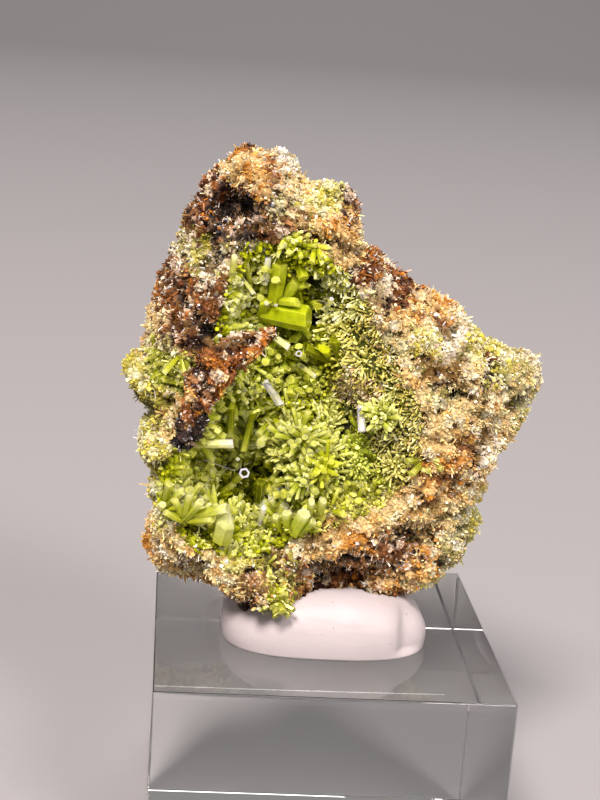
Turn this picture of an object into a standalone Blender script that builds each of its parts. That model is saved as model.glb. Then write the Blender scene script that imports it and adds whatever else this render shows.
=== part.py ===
"""A pyromorphite specimen: a lump of rusty matrix with a hollow full of green crystals.

It stands in a lump of white putty on a clear acrylic block. Lengths in this file are
millimetres and MM turns them to metres when a mesh is written. +X is the viewer's right,
+Y points away from the viewer and +Z is up. The origin is the centre of the block's
underside.
"""

import math

import bmesh
import bpy
import numpy as np
from mathutils import Matrix, Vector

MM = 0.001

# Clear block
BLOCK_SIDE = 32.0
BLOCK_HEIGHT = 20.0
BLOCK_EDGE_BEVEL = 0.3

# Putty, a rolled lump that is squashed under the rock
PUTTY_CENTRE_X = -0.1
PUTTY_CENTRE_Y = -1.6
PUTTY_HALF_LENGTH = 10.1
PUTTY_HALF_WIDTH = 6.7
PUTTY_HEIGHT = 5.7
PUTTY_END_DROP = 0.26
PUTTY_SEAT_GAP = 0.3
PUTTY_IMPRINT_GAP = 0.3
PUTTY_BULGE = 0.05
PUTTY_SHOULDER = 0.42
PUTTY_END_ROUNDNESS = 0.72
PUTTY_SIDE_ROUNDNESS = 0.76
PUTTY_COLUMNS = 40
PUTTY_RINGS = 8

# Rock. Its front is a hollow inside a rim, and its edge is the outline below.
ROCK_CENTRE = (-4.0, 43.0)
ROCK_LEAN = 0.06
ROCK_LEAN_FROM_Z = 32.0
ROCK_BACK_DEPTH = 9.5
ROCK_REACH = 18.0
OUTLINE_SMOOTHING = 26.0
OUTLINE_SAMPLES = 9
HOLLOW_FLOOR_Y = -0.5
HOLLOW_STEEPNESS = 2.3
FLANK_FULLNESS = 2.2
FLANK_ROUNDNESS = 0.65
LUMP_FADE = 6
BACK_FULLNESS = 2.4
BACK_ROUNDNESS = 0.6
HOLLOW_RINGS = 9
FLANK_RINGS = 9
BACK_RINGS = 10

# Outline of the rock as the viewer sees it: x and height z, from the right tip round
# by the top
ROCK_OUTLINE = [
    (18.7, 45.9), (17.7, 47.8), (15.1, 48.1), (13.1, 48.8), (11.5, 50.5), (9.4, 52.3),
    (7.6, 52.7), (5.3, 54.1), (3.4, 55.5), (0.9, 57.1), (0.3, 58.6), (0.1, 60.6),
    (-1.0, 61.8), (-3.1, 62.1), (-4.4, 61.9), (-5.3, 62.6), (-6.0, 64.3), (-7.2, 65.1),
    (-8.5, 64.5), (-9.8, 65.6), (-10.9, 65.2), (-11.9, 64.1), (-12.9, 62.6), (-13.8, 61.1),
    (-14.7, 59.2), (-15.7, 57.0), (-16.7, 54.9), (-17.3, 52.2), (-17.3, 50.4),
    (-18.2, 48.5), (-18.3, 46.2), (-20.0, 44.8), (-19.5, 43.8), (-18.2, 42.1),
    (-17.5, 40.6), (-18.4, 39.6), (-18.4, 38.7), (-17.2, 36.6), (-16.5, 34.3),
    (-16.2, 31.6), (-17.2, 29.3), (-17.4, 27.8), (-16.5, 26.1), (-14.9, 25.4),
    (-13.0, 24.9), (-11.3, 24.8), (-9.6, 24.4), (-8.4, 23.7), (-6.6, 23.3), (-5.0, 23.6),
    (-3.8, 24.2), (-1.4, 24.4), (1.1, 24.4), (3.7, 24.3), (6.8, 24.5), (8.6, 25.2),
    (9.9, 26.0), (11.2, 27.2), (12.6, 27.7), (13.3, 29.6), (14.0, 31.5), (13.4, 33.2),
    (14.0, 34.8), (13.6, 36.7), (14.7, 37.8), (16.6, 40.3), (17.4, 42.0), (18.0, 44.3),
]

# Rim of the hollow: x, y and z round it in the same order
HOLLOW_RIM = [
    (7.3, -6.6, 41.5), (5.4, -6.2, 46.1), (2.2, -6.0, 50.8), (-1.2, -5.8, 55.6),
    (-5.4, -5.2, 57.8), (-10.2, -5.6, 56.6), (-11.8, -7.0, 52.8), (-11.4, -8.2, 48.5),
    (-12.7, -8.2, 44.5), (-13.9, -7.8, 40.5), (-15.2, -6.2, 36.7), (-14.8, -6.6, 32.5),
    (-11.0, -7.8, 29.4), (-6.7, -8.2, 28.7), (-2.7, -8.3, 31.0), (3.1, -7.8, 32.6),
    (6.7, -7.2, 36.0),
]

# How far the wall of the hollow cuts in behind its rim, as a share of the rim's radius,
# by direction in degrees
UNDERCUT = [(0, 0.0), (90, 0.1), (135, 0.4), (165, 0.5), (205, 0.4), (235, 0.0), (300, 0.0)]

# Lumps (towards the viewer) and pits (away) on the front: x, z, half widths, height
FRONT_LUMPS = {
    "left peak": (-9.6, 63.3, 2.0, 1.8, 2.2),
    "right peak": (-6.9, 62.4, 1.7, 2.2, 2.6),
    "dark hole": (-10.9, 59.9, 1.7, 1.3, -5.0),
    "crevice": (-13.3, 56.8, 0.8, 2.2, -3.0),
    "side knob": (-2.2, 60.2, 2.8, 1.6, 3.0),
    "rusty shoulder": (-14.4, 52.0, 2.6, 3.6, 1.8),
    "gap under the shoulder": (-16.0, 46.6, 1.6, 1.2, -3.2),
    "left spike": (-18.6, 44.4, 1.6, 1.8, 2.4),
    "left knob": (-17.2, 39.0, 1.4, 1.8, 2.6),
    "spray mound": (-3.0, 38.4, 4.2, 4.0, 3.4),
    "right spray mound": (3.6, 43.2, 3.2, 3.0, 1.8),
    "ledge by the gap": (0.8, 46.6, 2.4, 1.7, 1.7),
    "gap below the ledge": (1.2, 42.2, 2.0, 1.8, -1.2),
    "deep corner": (-8.6, 35.6, 3.2, 2.6, -3.0),
    "upper gap": (-2.6, 52.0, 1.6, 2.2, -1.6),
    "slope hump": (10.2, 48.0, 2.6, 2.4, 1.6),
    "slope hump low": (10.2, 40.0, 2.6, 3.0, 1.4),
    "tip hump": (15.6, 45.6, 2.4, 1.8, 2.0),
    "slope pit": (9.4, 45.3, 1.0, 0.7, -1.8),
    "slope ledge": (10.4, 46.9, 3.4, 0.9, 0.9),
    "crease under the ledge": (11.4, 45.2, 3.6, 0.5, -0.9),
    "pit by the tip": (12.3, 46.9, 0.6, 0.6, -1.2),
    "upper slope pit": (6.4, 50.6, 0.9, 0.6, -1.1),
    "low slope pit": (9.6, 36.2, 0.8, 0.9, -1.2),
    "peak pit": (-7.6, 61.3, 0.6, 0.6, -1.2),
    "lower left lumps": (-14.8, 29.0, 2.4, 2.0, 2.0),
    "lower left recess": (-13.2, 27.6, 1.2, 2.0, -2.6),
    "foot": (-6.4, 25.4, 2.6, 2.0, 3.4),
    "recess over the putty": (1.2, 27.4, 4.6, 1.9, -4.6),
    "right recess": (7.2, 30.6, 1.6, 1.9, -2.4),
    "lower right lump": (8.8, 27.8, 2.6, 2.0, 2.0),
    "right foot lump": (4.6, 25.6, 2.4, 1.2, 0.7),
}

# Lumps and pits on the back, in the same form
BACK_LUMPS = {
    "upper ridge": (-8.0, 56.0, 3.5, 6.0, 2.2),
    "middle hump": (2.0, 44.0, 6.0, 5.0, 2.0),
    "broken hollow": (-8.5, 42.0, 4.2, 4.6, -3.4),
    "ledge": (-6.0, 34.5, 9.0, 2.0, 1.8),
    "low pit": (3.0, 33.0, 3.0, 2.4, -2.6),
    "right hump": (12.0, 42.0, 2.6, 3.4, 1.6),
}

# Flat broken faces that cut the back: depth at the centre line, slope along x and z
BROKEN_FACES = [(10.4, -0.32, 0.1), (12.2, 0.42, -0.12), (11.2, 0.05, -0.3)]

# The rusty arm that hangs over the hollow: x, y, z and half thickness along it
RUSTY_ARM = [
    (-7.3, -9.4, 50.5, 0.7), (-9.2, -9.4, 49.6, 1.1), (-10.8, -9.3, 48.7, 1.5),
    (-12.2, -9.2, 47.3, 1.9), (-13.0, -9.1, 45.4, 1.7), (-13.6, -9.0, 43.5, 1.3),
    (-14.1, -9.0, 41.9, 1.2), (-14.5, -9.0, 40.5, 0.9), (-14.9, -9.0, 39.3, 0.6),
]
ARM_SIDES = 8
ARM_DEPTH_SHARE = 0.8
ARM_RELIEF = 0.35
ARM_RELIEF_CELL = 1.7

# Rough relief of the rock: cell size and height of each layer
RELIEF_LAYERS = [(5.5, 1.1), (2.6, 0.7)]
RELIEF_SEED = 17
RELIEF_EDGE_LOSS = 0.75
RELIEF_EDGE_FROM = 0.8

# Crust of crystals in the hollow
CRUST_GAP = 0.45
CRUST_THICKNESS = 1.2
CRUST_COLUMNS = 36
CRUST_RINGS = 7
CRUST_REACH = 0.9
CRUST_EDGE_LOSS = 0.75
CRYSTAL_ROOT = 0.55
CRYSTAL_FACES = 6
PROBE_TURN = 2.0
PROBE_SHARE = 0.02
FOOT_PROBES = 60
SCATTERED_CRYSTALS = 60
SCATTER_FROM = 0.14
SCATTER_SPAN = 0.7
SCATTER_LEAN = 0.35
SCATTER_ROOT = 0.8
SCATTER_LENGTH = (1.2, 2.6)
SCATTER_HALF_WIDTH = (0.4, 0.75)
CRYSTAL_SEED = 2
GOLDEN_TURN = math.pi * (3.0 - math.sqrt(5.0))

# Large single crystals: foot x and z, direction, length and half width
SINGLE_CRYSTALS = {
    "upright prism": ((-8.0, 53.4), (0.05, -0.35, 1.0), 3.6, 0.45),
    "broad green prism": ((-5.6, 52.6), (0.55, -1.0, -0.1), 4.2, 1.05),
    "bright prism": ((-7.0, 45.2), (0.45, -1.1, -0.55), 3.6, 0.5),
    "level prism": ((-12.0, 39.6), (1.0, -0.75, 0.12), 4.2, 0.45),
    "hanging prism": ((-9.2, 40.4), (-0.15, -0.9, -0.8), 3.6, 0.6),
    "prism seen end on": ((-9.4, 36.4), (-0.05, -1.0, 0.25), 3.2, 0.55),
    "chunky corner prism": ((-12.6, 33.8), (0.7, -1.0, 0.35), 3.4, 0.8),
    "chunky wall prism": ((-13.6, 35.6), (0.35, -1.0, 0.15), 2.6, 0.8),
    "peaked prism": ((-8.2, 31.4), (0.1, -0.9, 0.6), 3.2, 1.0),
    "low rim prism": ((-3.6, 32.2), (0.25, -1.0, 0.35), 2.8, 0.9),
    "gap prism": ((1.6, 41.6), (0.2, -1.0, 0.5), 2.8, 0.4),
}

# Round sprays of crystals: foot x and z, count, length and half width
SPRAY_SPREAD = math.radians(68.0)
SPRAY_ROOT = 0.3
SPRAY_FOOT_SPREAD = 0.4
SPRAYS = {
    "middle spray": ((-3.0, 38.4), 14, 2.6, 0.42),
    "right spray": ((3.6, 43.0), 9, 2.0, 0.36),
    "low spray": ((1.4, 37.6), 7, 2.0, 0.36),
}


def ring_value(angle, angles, values):
    """A value that runs smoothly round a ring through the given ones, as a cubic curve."""
    order = np.argsort(angles)
    known = np.asarray(angles, float)[order]
    given = np.asarray(values, float)[order]
    known = np.concatenate([known[-2:] - 360.0, known, known[:2] + 360.0])
    given = np.concatenate([given[-2:], given, given[:2]])
    slope = np.gradient(given, known)
    angle = np.mod(angle, 360.0)
    left = np.clip(np.searchsorted(known, angle, side="right") - 1, 0, len(known) - 2)
    span = known[left + 1] - known[left]
    t = (angle - known[left]) / span
    start, end = given[left], given[left + 1]
    return (
        start * (1 + 2 * t) * (1 - t) ** 2
        + span * slope[left] * t * (1 - t) ** 2
        + end * t * t * (3 - 2 * t)
        + span * slope[left + 1] * t * t * (t - 1)
    )


def polar(x, z):
    """Direction in degrees and distance of a front point from the rock's centre."""
    dx = np.asarray(x, float) - ROCK_CENTRE[0]
    dz = np.asarray(z, float) - ROCK_CENTRE[1]
    return np.mod(np.degrees(np.arctan2(dz, dx)), 360.0), np.hypot(dx, dz)


OUTLINE_ANGLES, OUTLINE_RADII = polar(*zip(*ROCK_OUTLINE))
RIM_ANGLES, RIM_RADII = polar([p[0] for p in HOLLOW_RIM], [p[2] for p in HOLLOW_RIM])
RIM_DEPTHS = np.array([p[1] for p in HOLLOW_RIM])


def hash_unit(i, j, k, seed):
    """A repeatable number from 0 to 1 for each cell of a cubic lattice."""
    mixed = i * 374761393 + j * 668265263 + k * 2147483647 + seed * 1274126177
    mixed = np.bitwise_and(mixed, 0xFFFFFFFF)
    mixed = np.bitwise_and(np.bitwise_xor(mixed, mixed >> 13) * 1274126177, 0xFFFFFFFF)
    mixed = np.bitwise_xor(mixed, mixed >> 16)
    return mixed / float(0xFFFFFFFF)


def soft_noise(points, cell, seed):
    """Values from -1 to 1 that blend smoothly between the corners of cubic cells."""
    scaled = points / cell
    corner = np.floor(scaled).astype(np.int64)
    part = scaled - corner
    part = part * part * (3.0 - 2.0 * part)
    total = np.zeros(len(points))
    for dx in (0, 1):
        for dy in (0, 1):
            for dz in (0, 1):
                weight = (
                    np.where(dx, part[:, 0], 1 - part[:, 0])
                    * np.where(dy, part[:, 1], 1 - part[:, 1])
                    * np.where(dz, part[:, 2], 1 - part[:, 2])
                )
                cell_hash = hash_unit(corner[:, 0] + dx, corner[:, 1] + dy, corner[:, 2] + dz, seed)
                total += weight * (2.0 * cell_hash - 1.0)
    return total


def lump_field(x, z, lumps):
    """Sum of rounded lumps and pits at front or back points."""
    total = np.zeros_like(x)
    for lump_x, lump_z, half_x, half_z, height in lumps.values():
        total += height * np.exp(-((x - lump_x) / half_x) ** 2 - ((z - lump_z) / half_z) ** 2)
    return total


def edge_depth(z):
    """Y of the rock's outline, which leans back a little towards the top."""
    return ROCK_LEAN * (z - ROCK_LEAN_FROM_Z)


def roughen(points, radius_share, side):
    """Push points out by the relief noise: along Y near the centre, sideways at the edge."""
    sideways = radius_share**3
    away = np.column_stack(
        [
            (points[:, 0] - ROCK_CENTRE[0]) * sideways / ROCK_REACH,
            side * np.sqrt(1.0 - np.clip(sideways, 0, 1) ** 2),
            (points[:, 2] - ROCK_CENTRE[1]) * sideways / ROCK_REACH,
        ]
    )
    away /= np.linalg.norm(away, axis=1)[:, None]
    height = np.zeros(len(points))
    for layer, (cell, size) in enumerate(RELIEF_LAYERS):
        height += size * soft_noise(points, cell, RELIEF_SEED + layer)
    near_edge = (radius_share - RELIEF_EDGE_FROM) / (1.0 - RELIEF_EDGE_FROM)
    at_edge = 1.0 - RELIEF_EDGE_LOSS * np.clip(near_edge, 0, 1)
    return points + away * (height * at_edge)[:, None]


def outline_radius(angle, nearness):
    """Radius of the outline; its small corners fade away from the edge, where nearness is 1."""
    ring = closed_ring(OUTLINE_ANGLES, OUTLINE_RADII)
    exact = np.interp(np.mod(angle, 360.0), *ring)
    spread = np.linspace(-OUTLINE_SMOOTHING, OUTLINE_SMOOTHING, OUTLINE_SAMPLES)
    soft = np.mean([np.interp(np.mod(angle + turn, 360.0), *ring) for turn in spread], axis=0)
    return soft + (exact - soft) * nearness


def front_points(angle, share):
    """Points of the front: share 0 is the hollow's floor, 1 its rim and 2 the outline."""
    angle, share = np.broadcast_arrays(np.asarray(angle, float), np.asarray(share, float))
    angle, share = angle.ravel(), share.ravel()
    rim = ring_value(angle, RIM_ANGLES, RIM_RADII)
    rim_y = ring_value(angle, RIM_ANGLES, RIM_DEPTHS)
    under = ring_value(angle, [a for a, _ in UNDERCUT], [u for _, u in UNDERCUT])
    inner = np.clip(share, 0, 1)
    outer = np.clip(share - 1, 0, 1)
    outline = outline_radius(angle, outer**2)
    radius = rim * (inner + np.clip(under, 0, 1) * inner * np.sin(math.pi * inner))
    radius = np.where(share > 1, rim + (outline - rim) * outer, radius)
    x = ROCK_CENTRE[0] + radius * np.cos(np.radians(angle))
    z = ROCK_CENTRE[1] + radius * np.sin(np.radians(angle))
    bowl = HOLLOW_FLOOR_Y + (rim_y - HOLLOW_FLOOR_Y) * inner**HOLLOW_STEEPNESS
    edge = edge_depth(z)
    flank = edge + (rim_y - edge) * (1 - outer**FLANK_FULLNESS) ** FLANK_ROUNDNESS
    fade = np.sqrt(1 - outer**LUMP_FADE)
    y = np.where(share > 1, flank, bowl) - lump_field(x, z, FRONT_LUMPS) * fade
    y = np.where(share > 1, np.minimum(y, edge), y)
    return roughen(np.column_stack([x, y, z]), radius / outline, -1.0)


def back_points(angle, share):
    """Points of the back: share 0 is the outline and 1 the middle of the back."""
    angle, share = np.broadcast_arrays(np.asarray(angle, float), np.asarray(share, float))
    angle, share = angle.ravel(), share.ravel()
    radius = outline_radius(angle, (1 - share) ** 4) * (1 - share)
    x = ROCK_CENTRE[0] + radius * np.cos(np.radians(angle))
    z = ROCK_CENTRE[1] + radius * np.sin(np.radians(angle))
    edge = edge_depth(z)
    bulge = (1 - (1 - share) ** BACK_FULLNESS) ** BACK_ROUNDNESS
    height = ROCK_BACK_DEPTH + lump_field(x, z, BACK_LUMPS)
    for base, slope_x, slope_z in BROKEN_FACES:
        height = np.minimum(height, base + slope_x * x + slope_z * (z - ROCK_CENTRE[1]))
    y = edge + height * bulge
    return roughen(np.column_stack([x, np.maximum(y, edge), z]), 1 - share, 1.0)


def closed_ring(angles, values):
    """Angles and values sorted and repeated past both ends, for reading round a ring."""
    order = np.argsort(angles)
    known, given = np.asarray(angles)[order], np.asarray(values)[order]
    return (
        np.concatenate([[known[-1] - 360.0], known, [known[0] + 360.0]]),
        np.concatenate([[given[-1]], given, [given[0]]]),
    )


def material(name, colour, roughness, transmission=0.0, ior=1.5):
    """A Principled material; the colour is linear RGB."""
    made = bpy.data.materials.new(name)
    made.use_nodes = True
    shader = made.node_tree.nodes["Principled BSDF"]
    shader.inputs["Base Color"].default_value = (*colour, 1.0)
    shader.inputs["Roughness"].default_value = roughness
    shader.inputs["Transmission Weight"].default_value = transmission
    shader.inputs["IOR"].default_value = ior
    return made


def mesh_object(name, points, faces, finish):
    """An object whose mesh has the given points (mm) and faces."""
    mesh = bpy.data.meshes.new(name)
    mesh.from_pydata([tuple(p) for p in np.asarray(points) * MM], [], faces)
    mesh.validate()
    made = bpy.data.objects.new(name, mesh)
    bpy.context.scene.collection.objects.link(made)
    if finish:
        mesh.materials.append(finish)
    outward = bmesh.new()
    outward.from_mesh(mesh)
    bmesh.ops.recalc_face_normals(outward, faces=outward.faces)
    outward.to_mesh(mesh)
    outward.free()
    return made


def ring_faces(rings, columns, first=0):
    """Quads between rings of points that follow one another."""
    faces = []
    for ring in range(rings - 1):
        for column in range(columns):
            after = (column + 1) % columns
            low, high = first + ring * columns, first + (ring + 1) * columns
            faces.append((low + column, low + after, high + after, high + column))
    return faces


def cap_faces(pole, start, columns):
    """Triangles from a pole to the ring of points that starts at the given index."""
    return [(pole, start + c, start + (c + 1) % columns) for c in range(columns)]


def hidden_tool(made):
    """Mark an object as one that only shapes another."""
    made.hide_render = True
    made.display_type = "WIRE"
    return made


def boolean(target, tool, operation):
    """Join or cut with the exact solver."""
    step = target.modifiers.new(tool.name, "BOOLEAN")
    step.operation = operation
    step.object = tool
    return step


def make_block(finish):
    """The clear block with fine bevels along its edges."""
    cube = bmesh.new()
    size = Matrix.Diagonal((BLOCK_SIDE * MM, BLOCK_SIDE * MM, BLOCK_HEIGHT * MM, 1.0))
    place = Matrix.Translation((0.0, 0.0, BLOCK_HEIGHT * MM / 2))
    bmesh.ops.create_cube(cube, size=1.0, matrix=place @ size)
    bmesh.ops.bevel(
        cube, geom=list(cube.edges), offset=BLOCK_EDGE_BEVEL * MM, segments=1, affect="EDGES"
    )
    mesh = bpy.data.meshes.new("acrylic_block")
    cube.to_mesh(mesh)
    cube.free()
    mesh.materials.append(finish)
    made = bpy.data.objects.new("acrylic_block", mesh)
    bpy.context.scene.collection.objects.link(made)
    return made


def outward_directions(points, faces):
    """The direction square to the faces round each point, away from the rock's middle."""
    total = np.zeros_like(points)
    for face in faces:
        corners = points[list(face)]
        total[list(face)] += np.cross(corners[2] - corners[0], corners[-1] - corners[1])
    total /= np.linalg.norm(total, axis=1)[:, None]
    middle = np.array([ROCK_CENTRE[0], 0.0, ROCK_CENTRE[1]])
    return total * np.sign(np.sum(total * (points - middle)))


def rock_mesh(grow=0.0):
    """Points and faces of the rock, or of the rock grown by a clearance."""
    angles = np.sort(OUTLINE_ANGLES)
    columns = len(angles)
    shares = [k / HOLLOW_RINGS for k in range(1, HOLLOW_RINGS + 1)]
    shares += [1 + math.sin(math.pi / 2 * k / FLANK_RINGS) for k in range(1, FLANK_RINGS + 1)]
    backs = [1 - math.cos(math.pi / 2 * k / BACK_RINGS) for k in range(1, BACK_RINGS)]
    rings = [front_points(angles, share) for share in shares]
    rings += [back_points(angles, share) for share in backs]
    points = np.concatenate([front_points(0.0, 0.0), *rings, back_points(0.0, 1.0)])
    faces = cap_faces(0, 1, columns) + ring_faces(len(rings), columns, 1)
    last_ring = 1 + (len(rings) - 1) * columns
    faces += cap_faces(len(points) - 1, last_ring, columns)
    if grow:
        points = points + grow * outward_directions(points, faces)
    return points, faces


def arm_mesh():
    """The hanging arm: rings of points round a bent path, with closed ends."""
    path = np.array([p[:3] for p in RUSTY_ARM])
    width = np.array([p[3] for p in RUSTY_ARM])
    along = np.gradient(path, axis=0)
    along /= np.linalg.norm(along, axis=1)[:, None]
    forward = np.array([0.0, 1.0, 0.0])
    side = np.cross(along, forward)
    side /= np.linalg.norm(side, axis=1)[:, None]
    turn = np.arange(ARM_SIDES) * 2 * math.pi / ARM_SIDES
    rings = (
        path[:, None, :]
        + side[:, None, :] * (width[:, None] * np.cos(turn))[:, :, None]
        + forward * (ARM_DEPTH_SHARE * width[:, None] * np.sin(turn))[:, :, None]
    )
    points = rings.reshape(-1, 3)
    shift = [soft_noise(points, ARM_RELIEF_CELL, RELIEF_SEED + k) for k in (3, 4, 5)]
    points += ARM_RELIEF * np.column_stack(shift)
    faces = ring_faces(len(path), ARM_SIDES)
    faces.append(tuple(range(ARM_SIDES)))
    faces.append(tuple(range(len(points) - ARM_SIDES, len(points))))
    return points, faces


def make_rock(finish):
    """The matrix with its hollow, lumps and pits, and the arm fused to it."""
    rock = mesh_object("matrix_rock", *rock_mesh(), finish)
    arm = hidden_tool(mesh_object("arm_form", *arm_mesh(), finish))
    boolean(rock, arm, "UNION")
    return rock


def make_putty(finish):
    """The rolled lump of putty, pressed to the shape of the rock's foot."""
    turn = np.arange(PUTTY_COLUMNS) * 2 * math.pi / PUTTY_COLUMNS
    round_x = np.sign(np.cos(turn)) * np.abs(np.cos(turn)) ** PUTTY_END_ROUNDNESS
    round_y = np.sign(np.sin(turn)) * np.abs(np.sin(turn)) ** PUTTY_SIDE_ROUNDNESS
    rings = []
    for k in range(PUTTY_RINGS + 1):
        lift = math.pi / 2 * k / PUTTY_RINGS
        bulge = 1.0 - PUTTY_BULGE + PUTTY_BULGE * math.sin(2.0 * lift)
        reach = bulge * max(math.cos(lift), 0.0) ** PUTTY_SHOULDER if k < PUTTY_RINGS else 0.0
        along = reach * round_x
        height = (PUTTY_HEIGHT - PUTTY_SEAT_GAP) * math.sin(lift) * (1 - PUTTY_END_DROP * along**2)
        rings.append(
            np.column_stack(
                [
                    PUTTY_CENTRE_X + PUTTY_HALF_LENGTH * along,
                    PUTTY_CENTRE_Y + PUTTY_HALF_WIDTH * reach * round_y,
                    BLOCK_HEIGHT + PUTTY_SEAT_GAP + height,
                ]
            )
        )
    points = np.concatenate([*rings[:-1], rings[-1][:1]])
    faces = ring_faces(PUTTY_RINGS, PUTTY_COLUMNS)
    faces += cap_faces(len(points) - 1, (PUTTY_RINGS - 1) * PUTTY_COLUMNS, PUTTY_COLUMNS)
    faces.append(tuple(range(PUTTY_COLUMNS)))
    putty = mesh_object("putty", points, faces, finish)
    tool = hidden_tool(mesh_object("rock_imprint", *rock_mesh(PUTTY_IMPRINT_GAP), None))
    boolean(putty, tool, "DIFFERENCE")
    return putty


def crust_normals(angle, share):
    """Points of the hollow and the directions that stand square to it."""
    points = front_points(angle, share)
    around = front_points(angle + PROBE_TURN, share) - front_points(angle - PROBE_TURN, share)
    nearer = front_points(angle, np.clip(share - PROBE_SHARE, PROBE_SHARE / 2, 1))
    farther = front_points(angle, np.clip(share + PROBE_SHARE, PROBE_SHARE / 2, 1))
    normal = np.cross(around, nearer - farther)
    normal /= np.linalg.norm(normal, axis=1)[:, None]
    return points, normal


def crust_mesh():
    """The sheet that lines the hollow: its back follows the rock and its front stands off."""
    angle = np.arange(CRUST_COLUMNS) * 360.0 / CRUST_COLUMNS
    shares = [CRUST_REACH * k / CRUST_RINGS for k in range(1, CRUST_RINGS + 1)]
    backs, fronts = [], []
    for share in shares:
        points, normal = crust_normals(angle, np.full(CRUST_COLUMNS, share))
        thick = CRUST_THICKNESS * (1.0 - CRUST_EDGE_LOSS * (share / CRUST_REACH) ** 4)
        backs.append(points + normal * CRUST_GAP)
        fronts.append(points + normal * (CRUST_GAP + thick))
    floor = front_points(0.0, 0.0)
    straight = np.array([[0.0, -1.0, 0.0]])
    points = np.concatenate(
        [
            floor + straight * (CRUST_GAP + CRUST_THICKNESS),
            *fronts,
            *backs[::-1],
            floor + straight * CRUST_GAP,
        ]
    )
    faces = cap_faces(0, 1, CRUST_COLUMNS) + ring_faces(2 * CRUST_RINGS, CRUST_COLUMNS, 1)
    last_ring = 1 + (2 * CRUST_RINGS - 1) * CRUST_COLUMNS
    faces += cap_faces(len(points) - 1, last_ring, CRUST_COLUMNS)
    return points, faces


def crust_foot(x, z):
    """The point of the crust's front above a place in the hollow, and its direction."""
    angle, radius = polar(x, z)
    tried = np.linspace(PROBE_SHARE, CRUST_REACH, FOOT_PROBES)
    found = front_points(np.full(FOOT_PROBES, float(angle)), tried)
    share = tried[np.argmin(np.hypot(found[:, 0] - x, found[:, 2] - z))]
    points, normal = crust_normals(np.array([float(angle)]), np.array([share]))
    return points[0] + normal[0] * (CRUST_GAP + CRUST_THICKNESS), normal[0]


def add_prism(body, foot, direction, length, half_width, turn):
    """Add a six-sided prism that grows from just under the crust's front."""
    direction = Vector(direction).normalized()
    start = Vector(foot) - direction * CRYSTAL_ROOT
    place = Matrix.Translation((start + direction * (length + CRYSTAL_ROOT) / 2) * MM)
    spin = direction.to_track_quat("Z", "Y").to_matrix().to_4x4()
    own_turn = Matrix.Rotation(turn, 4, "Z")
    bmesh.ops.create_cone(
        body,
        cap_ends=True,
        segments=CRYSTAL_FACES,
        radius1=half_width * MM,
        radius2=half_width * MM,
        depth=(length + CRYSTAL_ROOT) * MM,
        matrix=place @ spin @ own_turn,
    )


def crystal_list():
    """Every crystal of the crust: foot, direction, length, half width and turn."""
    chance = np.random.default_rng(CRYSTAL_SEED)
    crystals = []
    for (x, z), direction, length, half_width in SINGLE_CRYSTALS.values():
        foot, _ = crust_foot(x, z)
        crystals.append((foot, direction, length, half_width, chance.uniform(0, 1)))
    for (x, z), count, length, half_width in SPRAYS.values():
        foot, normal = crust_foot(x, z)
        for k in range(count):
            tilt = SPRAY_SPREAD * math.sqrt((k + 0.5) / count)
            around = k * GOLDEN_TURN
            sideways = np.array([math.cos(around), 0.0, math.sin(around)])
            direction = normal * math.cos(tilt) + sideways * math.sin(tilt)
            start = foot - normal * SPRAY_ROOT + sideways * SPRAY_FOOT_SPREAD * tilt
            crystals.append((start, direction, length, half_width, chance.uniform(0, 1)))
    for k in range(SCATTERED_CRYSTALS):
        share = SCATTER_FROM + SCATTER_SPAN * math.sqrt((k + 0.5) / SCATTERED_CRYSTALS)
        angle = math.degrees(k * GOLDEN_TURN) % 360.0
        points, normal = crust_normals(np.array([angle]), np.array([share]))
        foot = points[0] + normal[0] * (CRUST_GAP + CRUST_THICKNESS * SCATTER_ROOT)
        direction = normal[0] + chance.uniform(-SCATTER_LEAN, SCATTER_LEAN, 3)
        length = chance.uniform(*SCATTER_LENGTH)
        half_width = chance.uniform(*SCATTER_HALF_WIDTH)
        crystals.append((foot, direction, length, half_width, chance.uniform(0, 1)))
    return crystals


def make_crust(finish):
    """The crust of the hollow with its crystals fused to it."""
    crust = mesh_object("pyromorphite_crust", *crust_mesh(), finish)
    forms = bpy.data.collections.new("crystal_forms")
    bpy.context.scene.collection.children.link(forms)
    for number, crystal in enumerate(crystal_list()):
        body = bmesh.new()
        add_prism(body, *crystal)
        mesh = bpy.data.meshes.new(f"crystal_form_{number}")
        body.to_mesh(mesh)
        body.free()
        forms.objects.link(hidden_tool(bpy.data.objects.new(mesh.name, mesh)))
    step = crust.modifiers.new("crystals", "BOOLEAN")
    step.operation = "UNION"
    step.operand_type = "COLLECTION"
    step.collection = forms
    return crust


def main():
    for old in list(bpy.data.objects):
        bpy.data.objects.remove(old, do_unlink=True)
    make_block(material("clear_acrylic", (1.0, 1.0, 1.0), 0.02, 1.0, 1.49))
    make_putty(material("white_putty", (0.87, 0.83, 0.83), 0.55))
    make_rock(material("rusty_matrix", (0.42, 0.26, 0.11), 0.85))
    make_crust(material("green_pyromorphite", (0.33, 0.50, 0.03), 0.18, 0.3, 2.0))


if __name__ == "__main__":
    main()
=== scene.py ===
"""Looks of a pyromorphite specimen on a clear display block.

Green pyromorphite crystals line a hollow in a lump of rusty matrix. White putty holds the
lump upright on a polished acrylic block. Every shape is worked out in millimetres and is
turned to metres when its mesh is written. The crystals face -Y and +Z is up.
"""

import logging
import math
from collections.abc import Iterable
from dataclasses import dataclass, field
from enum import Enum
from itertools import product
from typing import Self

import bpy
import numpy as np
from mathutils import Matrix, Vector

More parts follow.
